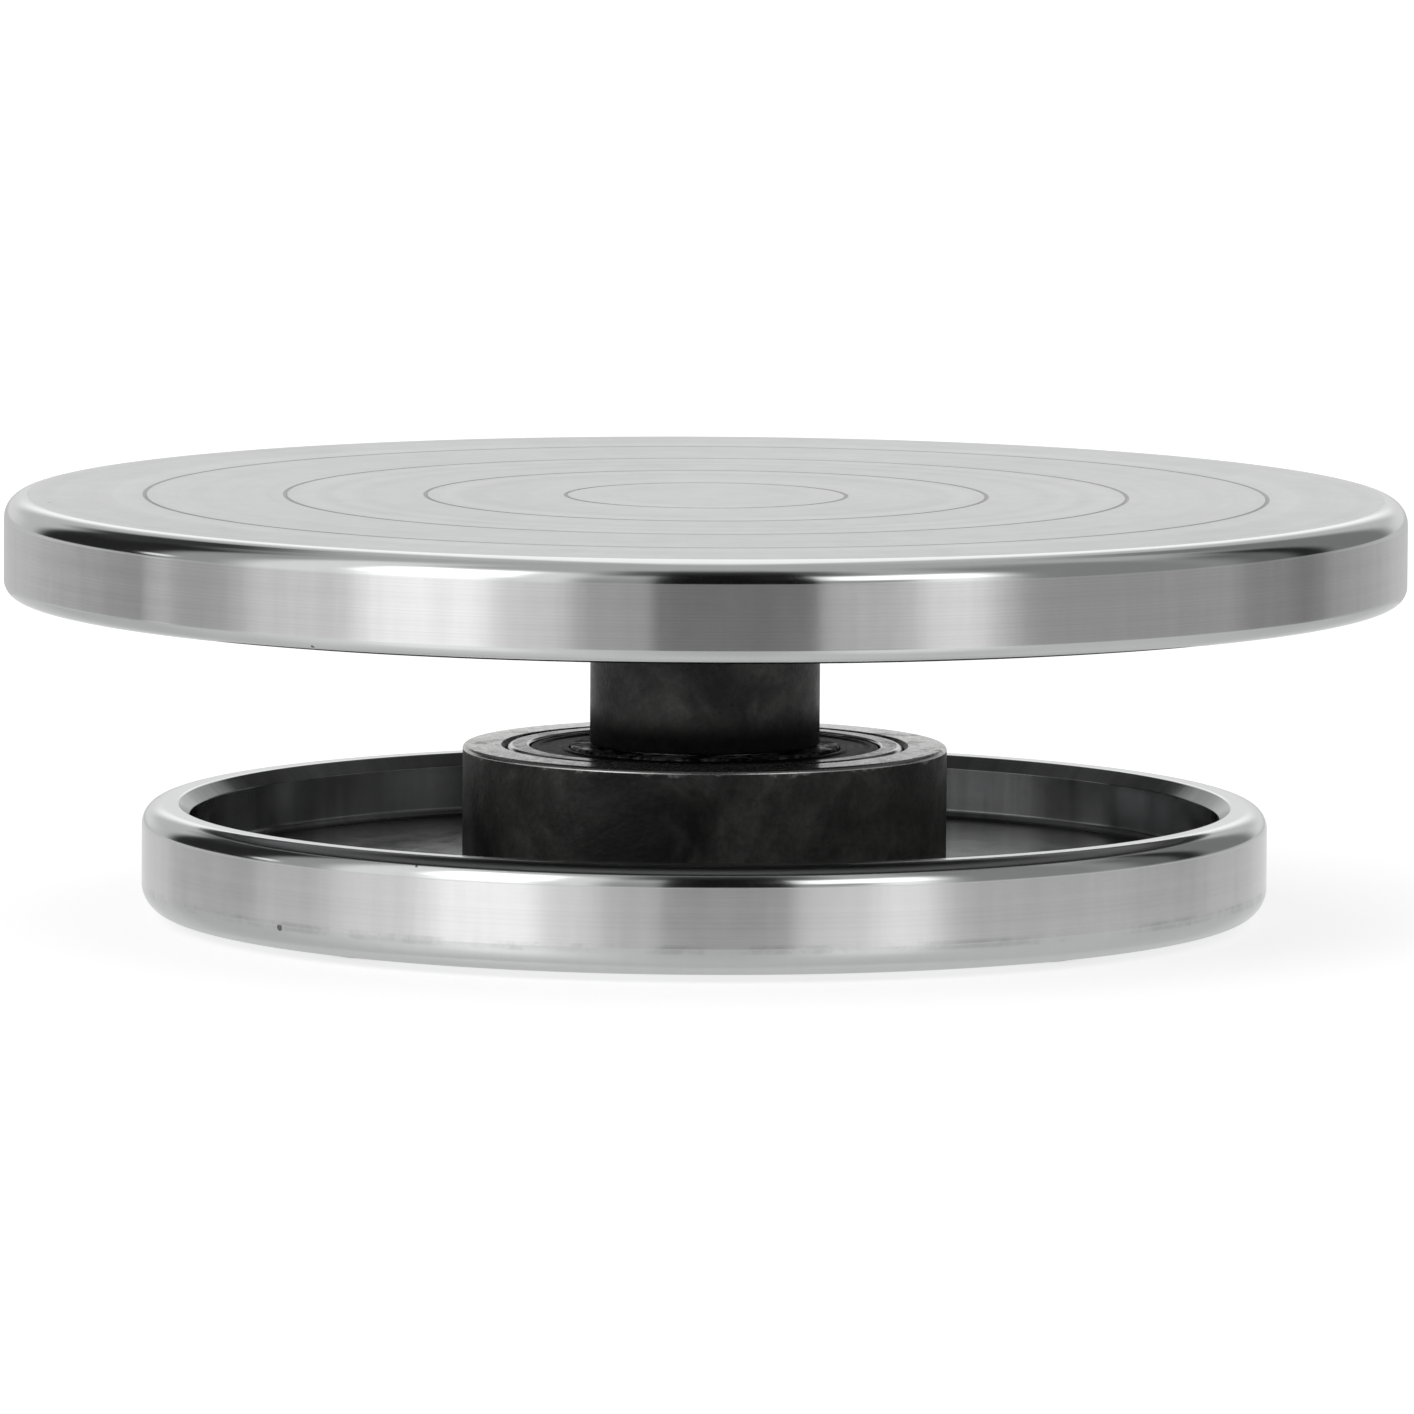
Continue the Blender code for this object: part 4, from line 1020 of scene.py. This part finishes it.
# -------- studio
Panel = namedtuple("Panel", "middle half_width blur low high rise light")
PANELS = [
    # The backdrop behind the object, and the softboxes and dark flags round it. Angles are in degrees:
    # azimuth 0 is towards the camera and grows to the right, and elevation is above the horizon.
    Panel(180, 44, 6, -60, 70, 14, 0.54),  # backdrop, dimmer to its sides
    Panel(180, 12, 6, -60, 70, 14, 1.10),
    Panel(180, 26, 8, -60, 9, 4, 0.72),  # its foot, in shade
    Panel(-72, 12, 8, -60, 62, 12, 0.82),  # spill left of the left softbox
    Panel(-92, 9, 6, -60, 50, 12, 0.34),
    Panel(-121, 20, 4, -60, 50, 14, 0.02),  # black flag
    Panel(-138, 15, 5, 26, 52, 6, 0.04),  # its upper arm
    Panel(-101, 3.5, 1.5, 4, 9, 2, 1.10),  # a small bare lamp beside it
    Panel(-46, 13, 6, -60, 46, 9, 1.38),  # left softbox
    Panel(-44, 15, 6, 15, 42, 6, 2.20),  # its brighter upper half
    Panel(-27, 6, 4, -60, 44, 9, 0.80),  # its spill
    Panel(-14, 7, 3, -60, 22, 14, 0.32),
    Panel(42, 9, 10, -60, 34, 8, 1.05),  # right softbox
    Panel(26, 8, 4, 3, 26, 3, 0.34),  # its spill
    Panel(36, 16, 6, 15, 34, 5, 1.70),  # its brighter upper half
    Panel(5, 24, 8, 36, 62, 8, 0.10),  # dark ceiling over the camera
    Panel(5, 13.5, 1.0, -60, 58, 22, 0.006),  # dark gap with the camera in it
    Panel(72, 21, 8, -60, 60, 12, 0.25),  # grey side wall
    Panel(112, 17, 8, -60, 40, 12, 0.14),
    Panel(117, 5, 3, -60, 40, 12, 0.02),  # a dark post against it
    Panel(138, 13, 5, -60, 56, 10, 0.20),
]
ROOM_LIGHT = 0.45  # what lies between and above the panels
TABLE_LIGHT = 0.56  # the table as the metal sees it
TABLE_SHINE = 0.68  # how much of the studio the table mirrors at a grazing angle
SHINE_AZIMUTH = 15  # the table mirrors most about this direction
PAPER_WHITE = 0.97
WHITE = (1.0, 1.0, 1.0, 1.0)
FLOOR_RADIUS = 8.0
FLOOR_GLOW = 0.72
NEAR_TABLE_RADIUS = 0.45
NEAR_TABLE_GLOW = 0.74
NEAR_TABLE_GLOSS = 0.36  # the share of it that mirrors instead of glowing
KEY_LIGHT = 0.9
KEY_SPREAD = math.radians(110)
CAMERA_PLACE = (0.00044, -3.2594, 0.3859)
CAMERA_LENS = 389.6  # millimetres
CAMERA_DOWN = 5.966  # degrees below level
CAMERA_ROLL = 0.309  # degrees


def make_panel_group():
    """How much of a direction one studio panel covers, from 0 to 1, with soft edges."""
    group, given, result = new_group(
        "studio_panel",
        {"Azimuth": 0.0, "Elevation": 0.0, "Middle": 0.0, "Half Width": 10.0, "Blur": 4.0, "Low": 0.0,
         "High": 40.0, "Rise": 6.0},
        ("Mask",))
    away = minus(group, given["Azimuth"], given["Middle"])
    away = calc(group, "ABSOLUTE", calc(group, "WRAP", away, 180.0, -180.0))
    side = ramp(group, away, calc(group, "ADD", given["Half Width"], given["Blur"]),
                minus(group, given["Half Width"], given["Blur"]))
    under = ramp(group, given["Elevation"], calc(group, "ADD", given["High"], given["Rise"]),
                 minus(group, given["High"], given["Rise"]))
    over = ramp(group, given["Elevation"], minus(group, given["Low"], given["Rise"]),
                calc(group, "ADD", given["Low"], given["Rise"]))
    group.links.new(times(group, side, times(group, under, over)), result["Mask"])
    return group


def make_world():
    """Softboxes, flags and backdrop seen by the metal; plain white paper seen by the camera."""
    world = bpy.data.worlds.new("studio")
    bpy.context.scene.world = world
    world.use_nodes = True
    tree = world.node_tree
    tree.nodes.clear()
    panel_group = make_panel_group()
    direction = add(tree, "ShaderNodeTexCoord").outputs["Generated"]
    parts = add(tree, "ShaderNodeSeparateXYZ", {0: direction}).outputs
    azimuth = calc(tree, "ARCTAN2", parts["X"], times(tree, parts["Y"], -1.0))
    azimuth = times(tree, azimuth, math.degrees(1))
    elevation = times(tree, calc(tree, "ARCSINE", parts["Z"]), math.degrees(1))
    height = calc(tree, "ABSOLUTE", elevation)
    light = ROOM_LIGHT
    for panel in PANELS:
        made = tree.nodes.new("ShaderNodeGroup")
        made.node_tree = panel_group
        tree.links.new(azimuth, made.inputs["Azimuth"])
        tree.links.new(height, made.inputs["Elevation"])
        for label, value in zip(("Middle", "Half Width", "Blur", "Low", "High", "Rise"), panel):
            made.inputs[label].default_value = value
        light = add(tree, "ShaderNodeMix", {0: made.outputs["Mask"], 2: light, 3: panel.light},
                    data_type="FLOAT").outputs[0]
    aside = calc(tree, "ABSOLUTE", minus(tree, azimuth, SHINE_AZIMUTH))
    in_front = ramp(tree, aside, 150.0, 85.0)
    shine = times(tree, ramp(tree, height, 4.0, 34.0, TABLE_SHINE, 0.0), in_front)
    table = times_plus(tree, minus(tree, light, TABLE_LIGHT), shine, TABLE_LIGHT)
    above = ramp(tree, elevation, -0.3, 0.3)
    seen = times_plus(tree, minus(tree, light, table), above, table)
    path = add(tree, "ShaderNodeLightPath").outputs
    metal_view = add(tree, "ShaderNodeBackground", {"Strength": seen, "Color": WHITE})
    paper = add(tree, "ShaderNodeBackground", {"Strength": PAPER_WHITE, "Color": WHITE})
    either = add(tree, "ShaderNodeMixShader", {0: path["Is Camera Ray"], 1: metal_view.outputs[0],
                                               2: paper.outputs[0]})
    tree.links.new(either.outputs[0], add(tree, "ShaderNodeOutputWorld").inputs["Surface"])


def stage_plane(name, radius, level):
    """A round sheet that belongs to the studio, not to the object."""
    mesh = bpy.data.meshes.new(name)
    work = bmesh.new()
    bmesh.ops.create_circle(work, cap_ends=True, segments=96, radius=radius)
    bmesh.ops.translate(work, verts=work.verts, vec=(0, 0, level))
    work.to_mesh(mesh)
    work.free()
    sheet = stand(name, mesh)
    return sheet


def make_floor():
    """Pale paper floor for the eye, and a nearer sheet that only the metal mirrors."""
    floor = stage_plane("paper_floor", FLOOR_RADIUS, -0.0001)
    material, tree, shader = new_surface("pale_paper")
    for label, value in {"Base Color": (0.5, 0.5, 0.5, 1.0), "Roughness": 0.9, "Specular IOR Level": 0.0,
                         "Emission Color": WHITE, "Emission Strength": FLOOR_GLOW}.items():
        shader[label].default_value = value
    from_below = add(tree, "ShaderNodeNewGeometry").outputs["Backfacing"]
    paper = tree.nodes["Principled BSDF"].outputs[0]
    clear = add(tree, "ShaderNodeBsdfTransparent").outputs[0]
    one_sided = add(tree, "ShaderNodeMixShader", {0: from_below, 1: paper, 2: clear})
    tree.links.new(one_sided.outputs[0], tree.nodes["Material Output"].inputs["Surface"])
    floor.data.materials.append(material)
    floor.visible_glossy = False
    near = stage_plane("table_near", NEAR_TABLE_RADIUS, -0.0002)
    material = bpy.data.materials.new("table_as_mirrored")
    material.use_nodes = True
    tree = material.node_tree
    tree.nodes.clear()
    glow = add(tree, "ShaderNodeEmission", {"Strength": NEAR_TABLE_GLOW})
    gloss = add(tree, "ShaderNodeBsdfGlossy", {"Roughness": 0.35})
    both = add(tree, "ShaderNodeMixShader", {0: NEAR_TABLE_GLOSS, 1: glow.outputs[0],
                                             2: gloss.outputs[0]})
    tree.links.new(both.outputs[0], add(tree, "ShaderNodeOutputMaterial").inputs["Surface"])
    near.data.materials.append(material)
    near.visible_camera = False
    near.visible_diffuse = False
    near.visible_shadow = False


def make_key_light():
    """A very large soft light overhead, which lights paper and paint and stays out of the mirrors."""
    data = bpy.data.lights.new("overhead", "SUN")
    data.energy = KEY_LIGHT
    data.angle = KEY_SPREAD
    light = stand("overhead", data)
    light.rotation_euler = (math.radians(12), math.radians(-9), 0)
    light.visible_glossy = False


def make_camera():
    """Long lens, a little above the disc, turned slightly on its own axis."""
    data = bpy.data.cameras.new("camera")
    data.sensor_width = 36.0
    data.lens = CAMERA_LENS
    data.clip_end = 100.0
    camera = stand("camera", data)
    tilt = Matrix.Rotation(math.radians(90 - CAMERA_DOWN), 4, "X")
    roll = Matrix.Rotation(math.radians(CAMERA_ROLL), 4, "Z")
    camera.matrix_world = Matrix.Translation(CAMERA_PLACE) @ tilt @ roll
    bpy.context.scene.camera = camera


make_world()
make_floor()
make_key_light()
make_camera()
bpy.context.scene.view_settings.view_transform = "Standard"
